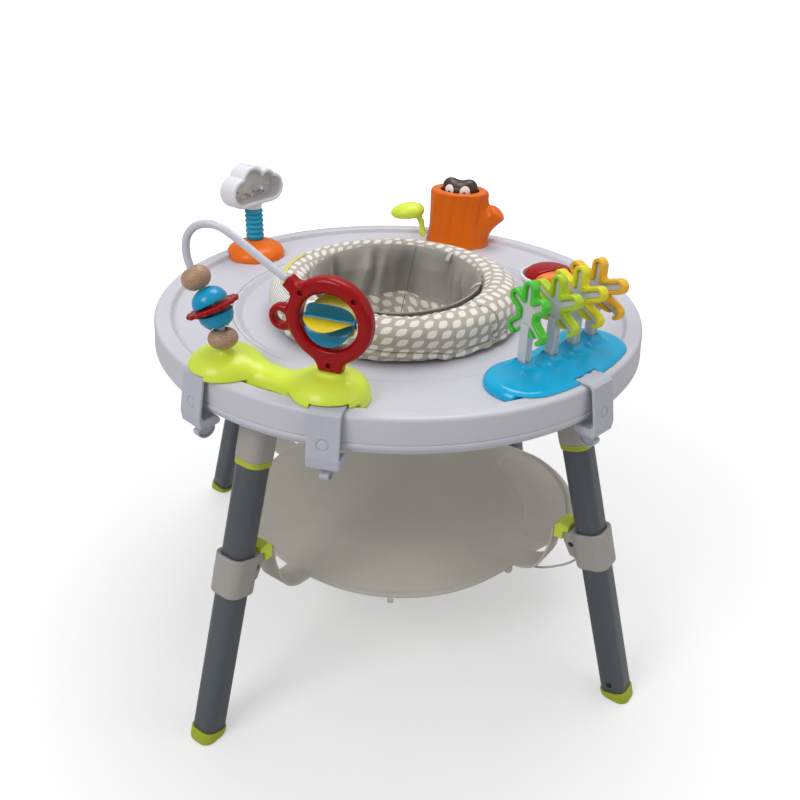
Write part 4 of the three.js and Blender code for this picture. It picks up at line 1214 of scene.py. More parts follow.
def spinner_frame(x, y, z):
    ring = length(x, z) - 51.4
    neck = polygon(x, z, [(-13.2, -70), (13.2, -70), (17.5, -44), (-17.5, -44)])
    outline = soft_max(soft_min(ring, neck, 9), -61.7 - z, 1.5)
    # small finger loop at the left
    loop = length(x + 58.5, z + 5) - 16.2
    loop = slab(soft_min(loop, ring + 3, 11), y, 6.9, 5.0)
    body = soft_min(slab(outline, y, 9.9, 6.5), loop, 2.5)
    # square boss for the end of the wire, up and to the left
    dir_x, dir_z = -0.7804, 0.6253
    along = x * dir_x + z * dir_z
    aside = -x * dir_z + z * dir_x
    body = soft_min(body, box(along - 52.8, aside, y, 12.0, 7.5, 7.5, 2.4), 7.0)
    # main opening, chamfered at each face
    opening_edge = length(x / 1.02, z / 0.96) - 34.5
    body = cut(body, opening_edge - np.clip(np.abs(y) - 6.4, 0, 4) * 0.9, 1.2)
    body = cut(body, length(x + 60, z + 5) - 7.8, 3.0)
    # blind bore for the wire; the added 50 keeps it out of the ring
    body = cut(body, length(aside, y) - 4.9 + np.where(along < 56, 50, 0), 0.6)
    for screw_x, screw_z in SPINNER_SCREWS:
        away = length(x - screw_x, z - screw_z)
        body = cut(body, np.maximum(away - 3.3, y + 5.2), 0.7)
        body = cut(body, np.maximum(away - 3.0, 6.5 - y), 0.7)
    return body


def spinner_screws():
    for k, (screw_x, screw_z) in enumerate(SPINNER_SCREWS):
        def field(x, y, z):
            head = slab(length(x - screw_x, z - screw_z) - 3.2, y + 4.2, 0.9, 0.5)
            return np.maximum(head, -cross(x - screw_x, y + 5.1, z - screw_z, 2.1, 0.7, 0.45))
        put(solid("spinner_screw_%d" % k, field, (screw_x - 4, -6, screw_z - 4),
                  (screw_x + 4, -3, screw_z + 4), 0.4, MAT["dark"], SPINNER_AZIMUTH, SPINNER),
            "frame")


def axle_lathe(name, profile, radii, mat, segments):
    """Turned part lying along the spinner's X axis."""
    obj = lathe(name, fillet(profile, radii, steps=2), mat, segments)
    obj.data.transform(Matrix.Translation(Vector(SPINNER) * MM)
                       @ Matrix.Rotation(radians(SPINNER_AZIMUTH), 4, "Z")
                       @ Matrix.Rotation(radians(90), 4, "Y"))
    return obj


def vane(start_angle, columns=26, rows=18):
    """One cupped half-round blade, closed and 1.9 mm thick at the root."""
    verts, faces = [], []
    for side in (-1, 1):
        for i in range(columns + 1):
            x = -VANE_RADIUS + 2 * VANE_RADIUS * i / columns
            reach = max(sqrt(max(VANE_RADIUS ** 2 - x * x, 0.0)), 0.6)
            for j in range(rows + 1):
                if reach > 3.0:
                    out = VANE_ROOT + max(reach - VANE_ROOT, 0.05) * j / rows
                else:
                    out = reach * (0.75 + 0.25 * j / rows)
                angle = radians(start_angle) + 0.30 - 0.42 * (out / VANE_RADIUS) ** 1.6
                thick = side * 0.95 * (1 - 0.55 * (j / rows) ** 6)
                thick *= 1 - 0.6 * abs(x / VANE_RADIUS) ** 8
                verts.append((x, -out * cos(angle) + thick * sin(angle),
                              out * sin(angle) + thick * cos(angle)))

    def at(side, i, j):
        return (side * (columns + 1) + i) * (rows + 1) + j

    for i in range(columns):
        for j in range(rows):
            faces.append((at(0, i, j), at(0, i + 1, j), at(0, i + 1, j + 1), at(0, i, j + 1)))
            faces.append((at(1, i, j), at(1, i, j + 1), at(1, i + 1, j + 1), at(1, i + 1, j)))
        faces.append((at(0, i, 0), at(1, i, 0), at(1, i + 1, 0), at(0, i + 1, 0)))
        faces.append((at(0, i, rows), at(0, i + 1, rows), at(1, i + 1, rows), at(1, i, rows)))
    for j in range(rows):
        faces.append((at(0, 0, j), at(0, 0, j + 1), at(1, 0, j + 1), at(1, 0, j)))
        faces.append((at(0, columns, j), at(1, columns, j), at(1, columns, j + 1),
                      at(0, columns, j + 1)))
    return np.array(verts), faces


def vanes(name, angles, mat):
    verts, faces = merge([vane(angle) for angle in angles])
    obj = mesh_object(name, turn(verts, SPINNER_AZIMUTH, SPINNER), faces, mat)
    work = bmesh.new()
    work.from_mesh(obj.data)
    bmesh.ops.remove_doubles(work, verts=work.verts, dist=1e-7)
    bmesh.ops.recalc_face_normals(work, faces=work.faces)
    work.to_mesh(obj.data)
    work.free()
    sharpen(obj, 40)
    return obj


put(solid("spinner_ring", spinner_frame, (-77, -11, -63), (53, 11, 53), 1.0, MAT["red"],
          SPINNER_AZIMUTH, SPINNER), "frame", "spinner_frame", slot="red_plastic")
spinner_screws()
put(axle_lathe("spinner_pin", [(0.01, -41), (2.2, -41), (2.2, 41), (0.01, 41)],
               [0, 0.5, 0.5, 0], MAT["steel"], 32),
    "frame", "spinner_axle", slot="axle_steel")
put(vanes("vanes_yellow", (4, 124, -116), MAT["vane_yellow"]),
    "spinner", "spinner_blades", slot="vane_plastic")
put(vanes("vanes_blue", (64, 184, -56), MAT["vane_blue"]), "spinner")
put(axle_lathe("spinner_hub", [(2.7, -31), (5.2, -31), (5.2, -28), (4.2, -26.5), (4.2, 26.5),
                               (5.2, 28), (5.2, 31), (2.7, 31)],
               [0.3, 0.6, 0.6, 1, 1, 0.6, 0.6, 0.3], MAT["vane_blue"], 40), "spinner")

# ------------------------------------------------------------------ tree toy
TREE_AZIMUTH = -56
TREE_FOOT_Z = 529
# x, y, half width, body, colour of the rim, CAD slot
TREES = [(154, -220, 31, "tree_a", "green", "green_plastic"),
         (190, -196, 38.5, "tree_b", "olive", "olive_plastic"),
         (222, -164, 43, "tree_c", "gold", "yellow_plastic"),
         (250, -134, 47, "tree_d", "amber", "amber_plastic")]


def tree_base(x, y, z):
    """Curved base with a collar and a square socket for each tree."""
    away = arc_distance(x, y, 285, -57, -29)
    crown = 2.4 * np.clip(1 - (away / 52) ** 2, 0, 1)
    lift = crown * np.clip((z - TOY_FOOT_Z) / 14, 0, 1)
    body = slab(away - 51.5, z - 505 - lift, 15.2, 11.5)
    spots = [local(x, y, TREE_AZIMUTH, tree[:2]) for tree in TREES]
    flare = 4.5 * np.clip((532.5 - z) / 9.0, 0, 1) ** 2
    for tree_x, tree_y in spots:
        collar = box(tree_x, tree_y, z - 524, 10.4 + flare, 9.2 + flare, 8.6, 2.4)
        body = soft_min(body, collar, 8.0)
    for tree_x, tree_y in spots:
        body = cut(body, box(tree_x, tree_y, z - 545, 8.2, 7.3, 18.5, 1.0), 0.5)
    body = soft_max(body, TOY_FOOT_Z - z, 0.8)
    return fit_rim(body, x, y, z, "tree")


def low_lobe_z(half_width):
    return 45.5 if half_width > 33 else 41.0


def tree_outline(x, z, half_width):
    """Five lobes: one up, two upper arms and two lower ones."""
    side, tip = np.abs(x), half_width - 9.6

    def lobe(start, end, radius):
        return capsule(side, z, 0 * z, (*start, 0), (*end, 0), radius, 9.6)

    body = soft_min(length(x, z - 62) - 15.5, lobe((0, 62), (0, 95), 10.0), 4)
    body = soft_min(body, lobe((0, 66), (tip, 79.5), 9.5), 5)
    return soft_min(body, lobe((0, 58), (tip, low_lobe_z(half_width)), 9.5), 5)


def tree_rim(x, y, z, half_width):
    """Coloured band round the outline, open below."""
    edge = tree_outline(x, z, half_width)
    body = slab(np.abs(edge + 2.6) - 2.6, y, 5.6, 1.5)
    body = cut(body, np.maximum(np.abs(x) - 7.6, z - 54), 1.0)
    below = np.maximum(np.abs(x) - (half_width - 11.5), z - low_lobe_z(half_width) + 3.0)
    return cut(body, below, 1.6)


def tree_plate(x, y, z, half_width):
    """Inner plate and slotted trunk."""
    body = slab(tree_outline(x, z, half_width) + 5.0, y - 1.6, 2.4, 0.5)
    body = soft_min(body, box(x, y + 0.2, z - 24.6, 7.0, 5.4, 25.4, 1.2), 2.0)
    return cut(body, box(np.abs(x) - 8.3, y + 0.2, z - 13.0, 2.6, 2.9, 14.5, 0.8), 0.5)


put(solid("tree_toy_base", tree_base, (98, -300, 506), (308, -86, 535), 1.35, MAT["blue"]),
    "frame", "tree_base", slot="blue_plastic")
for number, (tree_x, tree_y, half_width, body, color, slot) in enumerate(TREES, 1):
    foot = (tree_x, tree_y, TREE_FOOT_Z)
    put(solid("tree_rim_%d" % number, lambda x, y, z: tree_rim(x, y, z, half_width),
              (-half_width - 2, -6.5, 17), (half_width + 2, 6.5, 107), 1.0, MAT[color],
              TREE_AZIMUTH, foot), body, "tree_%d" % number, slot=slot)
    put(solid("tree_plate_%d" % number, lambda x, y, z: tree_plate(x, y, z, half_width),
              (-half_width, -7, -3), (half_width, 7, 101), 1.0, MAT["plate"],
              TREE_AZIMUTH, foot), body)

# ------------------------------------------------------------------ cloud toy
CLOUD_X, CLOUD_Y, CLOUD_Z = -238.0, 192.0, 592.0
CLOUD_AZIMUTH = 53
CLOUD_PLACE = (CLOUD_X, CLOUD_Y, CLOUD_Z)
CLOUD_PUFFS = [(-31, 24, 24), (32, 23.5, 22.5), (-10, 38.5, 25), (19, 35.5, 19.5)]  # x, z, radius
STEM_RIBS, STEM_PITCH = 6, 8.0
GRAIN_COLORS = [(185, 25, 35), (20, 110, 130), (226, 218, 90), (40, 60, 110), (232, 232, 228),
                (220, 120, 40)]
GRAIN_COUNT, GRAIN_RADIUS, GRAIN_GAP = 30, 1.95, 4.1


def cloud_base(x, y, z):
    x, y = x - CLOUD_X, y - CLOUD_Y
    body = dome(length(x, y + 4.0), z - TOY_FOOT_Z, 47.0, 24.6, 2.4)
    body = soft_min(body, slab(length(x, y) - 17.5, z - 527, 6.4, 2.0), 4)
    body = soft_max(body, TOY_FOOT_Z - z, 0.8)
    return fit_rim(body, x + CLOUD_X, y + CLOUD_Y, z, "cloud")


def cloud_stem():
    """Ribbed flexible stem."""
    profile = [(0.01, 535.2), (13.6, 535.2)]
    for i in range(STEM_RIBS):
        rib_z = 536.6 + i * STEM_PITCH
        for k in range(9):
            share = k / 8
            profile.append((12.0 + 2.6 * sin(pi * share) ** 0.7, rib_z + 7.1 * share))
        profile.append((11.7, rib_z + 7.5))
    profile += [(11.9, 584.6), (0.01, 584.6)]
    obj = lathe("cloud_toy_stem", profile, MAT["teal"], 72, (CLOUD_X, CLOUD_Y, 0))
    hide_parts("cloud_stem")
    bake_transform(obj)


def cloud_outline(x, z):
    puffs = [length(x - puff_x, z - puff_z) - radius for puff_x, puff_z, radius in CLOUD_PUFFS]
    body = reduce(lambda first, second: soft_min(first, second, 1.6), puffs)
    return soft_min(body, rect(x - 0.5, z - 15.5, 64, 30, 4), 2.0)


def cloud_shell(x, y, z):
    """Cloud block with a pocket in its front and a round neck below."""
    edge = cloud_outline(x, z)
    body = cut(slab(edge, y, 16.5, 4.6), np.maximum(edge + 6.0, y - 10.3), 1.6)
    return soft_min(body, slab(length(x, y) - 13.2, z + 2.5, 5.0, 1.2), 3.0)


def cloud_backing(x, y, z):
    return slab(cloud_outline(x, z) + 6.4, y - 8.6, 1.6, 0.4)


def cloud_window(x, y, z):
    return slab(cloud_outline(x, z) + 6.2, y + 10.4, 0.9, 0.5)


def ball(x, y, z, radius, around=10, rows=6):
    verts = [(x, y, z + radius)]
    for i in range(1, rows):
        tilt = pi * i / rows
        for k in range(around):
            angle = 2 * pi * k / around
            verts.append((x + radius * sin(tilt) * cos(angle),
                          y + radius * sin(tilt) * sin(angle), z + radius * cos(tilt)))
    verts.append((x, y, z - radius))
    faces = []
    bottom = 1 + (rows - 2) * around
    for k in range(around):
        after = (k + 1) % around
        faces.append((0, 1 + k, 1 + after))
        for i in range(rows - 2):
            here, there = 1 + i * around, 1 + (i + 1) * around
            faces.append((here + k, there + k, there + after, here + after))
        faces.append((bottom + k, bottom + around, bottom + after))
    return np.array(verts), faces


def cloud_grains():
    """Coloured balls heaped in the lower part of the pocket."""
    random = np.random.default_rng(3)
    spots = []
    for _ in range(4000):
        x = random.uniform(-44, 44)
        z = 9.5 + abs(random.normal(0, 7.5))
        if cloud_outline(x, z) > -10.2 or z > 50:
            continue
        if all((x - a) ** 2 + (z - b) ** 2 > GRAIN_GAP ** 2 for a, b in spots):
            spots.append((x, z))
        if len(spots) >= GRAIN_COUNT:
            break
    balls = [ball(x, 4.7 - (k % 3) * 1.2, z, GRAIN_RADIUS) for k, (x, z) in enumerate(spots)]
    for i, color in enumerate(GRAIN_COLORS):
        verts, faces = merge(balls[i::len(GRAIN_COLORS)])
        mat = plastic("grain_%d" % i, color, rough=0.3, grain=0.05)
        put(mesh_object("cloud_grains_%d" % i, turn(verts, CLOUD_AZIMUTH, CLOUD_PLACE), faces,
                        mat), "cloud")


put(solid("cloud_toy_base", cloud_base, (-288, 138, 506), (-188, 238, 536), 1.2,
          MAT["orange"]), "frame", "cloud_base", slot="orange_plastic")
cloud_stem()
put(solid("cloud_shell", cloud_shell, (-57, -19, -8.5), (57, 19, 70), 1.1, MAT["white"],
          CLOUD_AZIMUTH, CLOUD_PLACE), "cloud", "cloud_frame", slot="white_plastic")
put(solid("cloud_backing", cloud_backing, (-52, 5, 4), (52, 12, 64), 1.0, MAT["cloud_back"],
          CLOUD_AZIMUTH, CLOUD_PLACE), "cloud")
put(solid("cloud_window", cloud_window, (-52, -13, 4), (52, -8, 64), 0.9, MAT["clear"],
          CLOUD_AZIMUTH, CLOUD_PLACE), "cloud", "cloud_lens", slot="clear_plastic")
cloud_grains()

# ------------------------------------------------------------------ stump toy
STUMP_X, STUMP_Y = 96.0, 283.0
STUMP_PLACE = (STUMP_X, STUMP_Y, 0)
STUMP_AZIMUTH = -19.5
STUMP_SQUASH = 0.78     # depth over width
FLUTE_COUNT = 12
flute_jitter = np.random.default_rng(11).uniform(-0.28, 0.28, FLUTE_COUNT)
FLUTE_ANGLES = np.sort((np.arange(FLUTE_COUNT) + flute_jitter) / FLUTE_COUNT * 2 * pi)


def flutes(angle, height):
    """Bulge of the bark facets, zero at each flute."""
    angle = (angle + 0.10 * np.sin(height / 30.0 + 1.0)) % (2 * pi)
    stops = np.concatenate([FLUTE_ANGLES - 2 * pi, FLUTE_ANGLES, FLUTE_ANGLES + 2 * pi])
    i = np.searchsorted(stops, angle)
    low, high = stops[i - 1], stops[i]
    share = (angle - low) / (high - low)
    return (high - low) * 0.5 * (1 - (2 * share - 1) ** 2)


def stump(x, y, z):
    height = z - TOY_FOOT_Z
    radius = length(x, y / STUMP_SQUASH)
    trunk = 49.0 + 6.0 * np.exp(-np.maximum(height, 0) / 14.0)
    bark = flutes(np.arctan2(y / STUMP_SQUASH, x), height) * 10.5 - 2.2
    bark = bark * np.clip((598.5 - z) / 5.0, 0, 1)
    body = soft_max((radius - trunk - bark) * 0.86, z - 599.8, 4.5)
    body = soft_max(body, TOY_FOOT_Z - z, 1.0)
    # cut branch rising at 45 degrees to +X, with a flat round end
    root = np.array([36, 3, 534.0])
    slant = sqrt(0.5)
    branch = cylinder(x, y, z, root, root + np.array([slant, 0, slant]) * 48, 14.8, 4.2)
    around = np.arctan2(y - root[1], (x - root[0]) * slant - (z - root[2]) * slant)
    body = soft_min(body, branch - 0.22 * np.cos(7 * around), 15.0)
    # well for the animal
    body = cut(body, np.maximum((radius - 33.0) * 0.88, 545 - z), 2.2)
    # ring groove on the cut face
    body = cut(body, length((radius - 41.3) * 0.9, z - 600.1) - 0.8, 0.5)
    world_x, world_y = local(x, y, -STUMP_AZIMUTH)
    return fit_rim(body, world_x + STUMP_X, world_y + STUMP_Y, z, "stump")


def animal(x, y, z):
    head = ellipsoid(x, y, z - 600, 28.3, 20.8, 14.5)
    neck = slab(length(x, y / STUMP_SQUASH) - 23.6, z - 581, 19, 2)
    ear = length(np.abs(x) - 17.2, y - 1, z - 606) - 11.0
    return soft_min(soft_min(head, neck, 5), ear, 9.0)


def eye_part(name, x_center, z_center, radius, raised, blend, low, high, cell, mat):
    """Round patch lying just proud of the head's front; low and high are x, y, z limits."""
    def field(x, y, z):
        skin = np.maximum(animal(x, y, z) - raised, y + 6)
        return soft_max(length(x - x_center, z - z_center) - radius, skin, blend)
    low = (x_center + low[0], *low[1:])
    high = (x_center + high[0], *high[1:])
    put(solid(name, field, low, high, cell, mat, STUMP_AZIMUTH, STUMP_PLACE), "animal")


def leaf(x, y, z):
    """Egg-shaped paddle, fuller towards the stump, on a bent stalk."""
    leaf_x, leaf_y, leaf_z = x - 9, y - 270, z - 563
    fuller = 1.0 + 0.10 * np.clip(leaf_x / 28, -1, 1)
    body = ellipsoid(leaf_x, leaf_y / fuller, (leaf_z - 0.10 * leaf_x) / fuller,
                     28.3, 22.5, 14.6)
    body = cut(body, leaf_z + 8.6 - 0.10 * leaf_x, 2.0)
    stalk = soft_min(capsule(x, y, z, (24, 270, 560), (33, 270, 546), 5.4, 4.4),
                     capsule(x, y, z, (33, 270, 546), (35.5, 270, 527), 4.4, 4.8), 2.5)
    knuckle = cylinder(x, y, z, (35.5, 262, 527), (35.5, 278, 527), 5.5, 0.9)
    body = soft_min(soft_min(body, stalk, 5.0), knuckle, 1.2)
    across = leaf_x - 21.5 - 0.03 * leaf_y * leaf_y
    crease = np.sqrt(across ** 2 + (leaf_z - 9.5) ** 2 * 0.08) - 0.7
    return cut(body, crease, 0.8)


put(solid("stump_body", stump, (-57, -47, 506), (86, 47, 602), 1.35, MAT["bark"],
          STUMP_AZIMUTH, STUMP_PLACE), "frame", "stump", slot="orange_plastic")
put(solid("stump_creature", animal, (-31, -24, 561), (31, 24, 627), 1.0, MAT["brown"],
          STUMP_AZIMUTH, STUMP_PLACE), "animal", "stump_animal", slot="brown_plastic")
for side in (-1, 1):
    eye_part("eye_white_%d" % (side + 1), side * 13.4, 601.2, radius=8.2, raised=0.8, blend=0.5,
             low=(-10, -24, 591), high=(10, -6, 612), cell=0.8, mat=MAT["eye_white"])
    eye_part("eye_pupil_%d" % (side + 1), side * 13.0, 598.4, radius=2.5, raised=1.25,
             blend=0.3, low=(-4, -25, 594), high=(4, -6, 603), cell=0.55, mat=MAT["brown"])
put(solid("leaf_paddle", leaf, (-22, 244, 520), (43, 296, 582), 0.95, MAT["lime"]),
    "leaf", "leaf_lever", slot="lime_plastic")

# ------------------------------------------------------------------ cup toy
CUP_X, CUP_Y = 227.0, 73.5
DRUM_AZIMUTH = 15
# radius, z, corner radius
CUP_PROFILE = [(0.01, TOY_FOOT_Z, 0), (36, TOY_FOOT_Z, 2), (41.5, 519, 4), (46.2, 529.6, 1.6),
               (45.2, 532.4, 1.8), (41.6, 532.4, 1.6), (40.6, 528, 1.5), (33.8, 512.2, 2),
               (0.01, 512.2, 0)]
# radius, z
DRUM_PROFILE = [(0, 513), (31, 513), (38.2, 528), (37.6, 533.5), (34, 538.2), (28, 541.6),
                (21, 543.9), (14, 545.3), (7, 545.9), (0, 546), (-8, 546), (-8, 513)]


def cup_plate(x, y, z):
    outline = rect(x - 262, y - 40, 92, 84, 30)
    ridge = slab(np.abs(outline + 4.5) - 1.6, z - 513.6, 1.3, 0.8)
    body = soft_min(slab(outline, z - TOY_FOOT_Z, 5.8, 2.2), ridge, 0.8)
    body = soft_max(body, TOY_FOOT_Z - z, 0.5)
    body = cut(body, length(x - CUP_X, y - CUP_Y) - 36.0, 0.5)
    return cut(body, rim_space(x, y, z), 0.5)


def cup_inset(x, y, z):
    body = slab(rect(x - 264, y - 38, 60, 50, 20), z - 513.8, 0.7, 0.4)
    return soft_max(body, 39.6 - length(x - CUP_X, y - CUP_Y), 0.3)


def drum(x, y, z):
    return polygon(length(x, y), z, DRUM_PROFILE)


def drum_red(x, y, z):
    return soft_max(drum(x, y, z), -(y + 15.5), 1.2)


def drum_orange(x, y, z):
    return soft_max(drum(x, y, z) + 1.4, y + 16.3, 1.2)


put(lathe("cup_bezel", filleted(CUP_PROFILE, 5), MAT["white"], 144, (CUP_X, CUP_Y, 0)),
    "frame", "cup_housing", slot="white_plastic")
put(solid("cup_base_plate", cup_plate, (213, -5, 507), (318, 84, 516.5), 1.1, MAT["white"]),
    "frame")
put(solid("cup_plate_inset", cup_inset, (230, 10, 512), (296, 66, 516), 1.0, MAT["cup_grey"]),
    "frame")
put(solid("drum_red", drum_red, (-40, -40, 512), (40, 40, 547), 1.25, MAT["red"],
          DRUM_AZIMUTH, (CUP_X, CUP_Y, 0)), "drum", "cup_drum", slot="red_plastic")
put(solid("drum_orange", drum_orange, (-40, -40, 512), (40, 0, 547), 1.25, MAT["orange"],
          DRUM_AZIMUTH, (CUP_X, CUP_Y, 0)), "drum")

# ------------------------------------------------------------------ rim clips
# radius, z of the clip's hooked section
CLIP = [(323, 516.6), (323, 519.6), (345, 520.6), (350.5, 517), (360.6, 466), (359.5, 452.5),
        (356, 449.2), (337, 449.2), (332, 451.5), (330, 456), (332, 460.5), (336, 462.5),
        (352.5, 462.5), (356.4, 468), (347.2, 512.5), (343.2, 516.6)]
# radius, z of the lever below it
LEVER = spline([(338.5, 446.8), (342, 448.4), (345.5, 446.8), (347.5, 444), (354.5, 441),
                (354.5, 436.5), (351, 431.5), (345, 428.3), (339, 428.3), (333, 431.5),
                (329.5, 436.5), (329.5, 441), (336.5, 443.8)], 4, closed=True)


def clip(x, y, z):
    body = slab(polygon(x, z, CLIP), y, 20, 1.5)
    front = 350.5 + (517 - z) * 0.198
    # rounded lower corners of the outer plate
    body = soft_max(body, rect(y, z - 500, 40, 103.5, 7), 1.0)
    groove = length(y, x - front - 0.5) - 0.95 + np.where((z > 511) | (z < 458), 6, 0)
    body = cut(body, groove, 0.4)
    # round dimple, with a disc standing in it
    away = length(y, z - 482)
    body = cut(body, np.maximum(away - 7.6, front - 1.0 - x), 0.5)
    body = soft_min(body, common(away - 5.4, x - front + 0.2, front - 3.4 - x), 0.5)
    # two slots in the inner end of the top
    for side in (-1, 1):
        body = cut(body, box(x - 323.6, y - side * 9, z - 519.6, 1.2, 5.0, 1.4, 0.2), 0.3)
    return body


def lever(x, y, z):
    """Lever hollowed from both sides, leaving a web."""
    outline = polygon(x, z, LEVER)
    hollow = common(outline + 2.2, 2.6 - np.abs(y), z - 443.0)
    return cut(slab(outline, y, 5.5, 1.2), hollow, 0.8)


clip_verts, clip_faces = surface_nets(clip, (321, -22, 447.5), (363, 22, 523), 1.05)
lever_verts, lever_faces = surface_nets(lever, (327, -7, 426), (357, 7, 450), 0.8)
for key, azimuth in CLIP_AZIMUTHS.items():
    put(mesh_object("rim_clip_" + key, turn(clip_verts, azimuth), clip_faces, MAT["clip"]),
        "frame", "clip_" + key, slot="clip_plastic")
    put(mesh_object("clip_cam_" + key, turn(lever_verts, azimuth), lever_faces, MAT["clip"]),
        "lever_" + key, "clip_lever_" + key, slot="clip_plastic")

# ------------------------------------------------------------------ padded seat ring
# radius about the seat's axis, z
PAD_PROFILE = np.array([
    (139.5, 501.2), (150, 500.9), (166, 500.9), (177.5, 501.3), (181.0, 506), (182.0, 515),
    (181.6, 524), (180.0, 534), (176.4, 542.5), (171.0, 549.0), (164, 553.6), (156, 555.8),
    (148.5, 555.4), (141, 552.2), (135.4, 546.5), (132.0, 538), (131.0, 528), (132.4, 516),
    (135.6, 506)], float)
PAD_AROUND, PAD_ACROSS = 120, 30
PAD_SHRINK = 0.90           # section before it is puffed up
PAD_RADIUS = 172            # where lengths round the pad are measured
PAD_CORE_RADIUS, PAD_CORE_Z, PAD_CORE_REACH = 157.0, 528.0, 28      # middle of the section
PAD_MAX_RADIUS = 183.4
PUFF_LIMIT = 0.0042         # m
OPENING_INSET = 5.5
FRONT_CORNER = -63          # azimuth where the hem dips


def opening(angle):
    """How far the egg-shaped seat opening lies outside a plain circle, angle in radians."""
    return 12 * np.sin(angle) - 6.5 * np.cos(2 * angle) - 1.2 * np.cos(4 * (angle - pi / 4))


def grid_mesh(name, points, mat, size_u, size_v, closed):
    """Mesh of a grid of points; UV spans size_u by size_v metres."""
    count_u, count_v = points.shape[:2]
    cells_u, cells_v = (count_u, count_v) if closed else (count_u - 1, count_v - 1)
    faces, uvs = [], []
    for i, j in product(range(cells_u), range(cells_v)):
        here, there = i * count_v, (i + 1) % count_u * count_v
        after = (j + 1) % count_v
        faces.append((here + j, there + j, there + after, here + after))
        uvs += [((i + a) / cells_u * size_u, (j + b) / cells_v * size_v)
                for a, b in ((0, 0), (1, 0), (1, 1), (0, 1))]
    return mesh_object(name, points.reshape(-1, 3), faces, mat, uvs=uvs)


def pad_cover():
    """Unpuffed cover of the pad."""
    outline = spline(PAD_PROFILE, 6, closed=True)
    outline = np.vstack([outline, outline[:1]])
    along = arc_lengths(outline)
    stops = np.linspace(0, along[-1], PAD_ACROSS, endpoint=False)
    section = np.column_stack([np.interp(stops, along, column) for column in outline.T])
    middle = section.mean(axis=0)
    radii, heights = (middle + (section - middle) * PAD_SHRINK).T
    angles = np.arange(PAD_AROUND)[:, None] / PAD_AROUND * 2 * pi
    inner = np.clip((170 - radii) / 34, 0, 1)
    radius = radii - (OPENING_INSET - opening(angles)) * inner
    points = np.stack([SEAT_X + radius * np.cos(angles), SEAT_Y + radius * np.sin(angles),
                       np.repeat(heights[None, :], PAD_AROUND, 0)], 2)
    girth = float(arc_lengths(np.vstack([PAD_PROFILE, PAD_PROFILE[:1]]))[-1])
    return grid_mesh("padded_ring", points, MAT["pad"], 2 * pi * PAD_RADIUS * MM, girth * MM,
                     closed=True)


def read_coords(obj):
    coords = np.empty(len(obj.data.vertices) * 3, np.float32)
    obj.data.vertices.foreach_get("co", coords)
    return coords.reshape(-1, 3).astype(float)


def write_coords(obj, coords):
    obj.data.vertices.foreach_set("co", np.asarray(coords, np.float32).ravel())
    obj.data.update()


def read_normals(obj):
    values = np.empty(len(obj.data.vertices) * 3, np.float32)
    obj.data.vertex_normals.foreach_get("vector", values)
    return values.reshape(-1, 3).astype(float)


def inflate(obj, pins, frames=20):
    """Blow the cloth up from inside; pins maps vertices to hold weights."""
    group = obj.vertex_groups.new(name="hold")
    for vertex, weight in pins.items():
        group.add([vertex], weight, "REPLACE")
    modifier = obj.modifiers.new("puff", "CLOTH")
    settings = modifier.settings
    settings.quality = 6
    settings.mass = 0.3
    settings.tension_stiffness = 15
    settings.compression_stiffness = 15
    settings.shear_stiffness = 15
    settings.bending_stiffness = 0.5
    settings.use_pressure = True
    settings.uniform_pressure_force = 4.0
    settings.pin_stiffness = 1.0
    settings.vertex_group_mass = "hold"
    settings.effector_weights.gravity = 0
    modifier.collision_settings.use_self_collision = False
    modifier.point_cache.frame_start, modifier.point_cache.frame_end = 1, frames
    scene = bpy.context.scene
    scene.frame_start, scene.frame_end = 1, frames
    for frame in range(1, frames + 1):
        scene.frame_set(frame)
    graph = bpy.context.evaluated_depsgraph_get()
    coords = read_coords(obj.evaluated_get(graph))
    obj.modifiers.remove(modifier)
    obj.vertex_groups.remove(group)
    scene.frame_set(1)
    return coords


def puff_pad(obj):
    rest = read_coords(obj)
    pins = {}
    for i, j in product(range(PAD_AROUND), range(PAD_ACROSS)):
        vertex = i * PAD_ACROSS + j
        if rest[vertex][2] * 1000 < 505.5:
            pins[vertex] = 1.0
        elif i % 15 == 0:
            # evenly spaced lines across the cover are held back a little
            pins[vertex] = 0.25
    moved = inflate(obj, pins) - rest
    distance = np.linalg.norm(moved, axis=1)
    share = np.minimum(1.0, PUFF_LIMIT / np.maximum(distance, 1e-9))
    write_coords(obj, rest + moved * share[:, None])


def wave(azimuth, count, phase=0.0):
    """Sine with count turns round the seat."""
    return np.sin(np.radians(azimuth) * count + phase)


def near(azimuth, center, width):
    """Bump round an azimuth; width is in mm at PAD_RADIUS."""
    return np.exp(-(np.radians(wrap(azimuth - center)) * PAD_RADIUS / width) ** 2)


def hem_rise(azimuth):
    """Height of the hem's crease above its plain run: it climbs left of the front corner."""
    left = -wrap(azimuth - FRONT_CORNER)
    climb = 9.5 * np.clip(left / 34.0, 0, 1) * np.clip((75 - left) / 30.0, 0, 1)
    swell = 3.0 * np.exp(-((left + 30) / 16.0) ** 2)
    return np.where(left > 0, climb, swell) - 3.6 * np.exp(-(left / 5.0) ** 2)


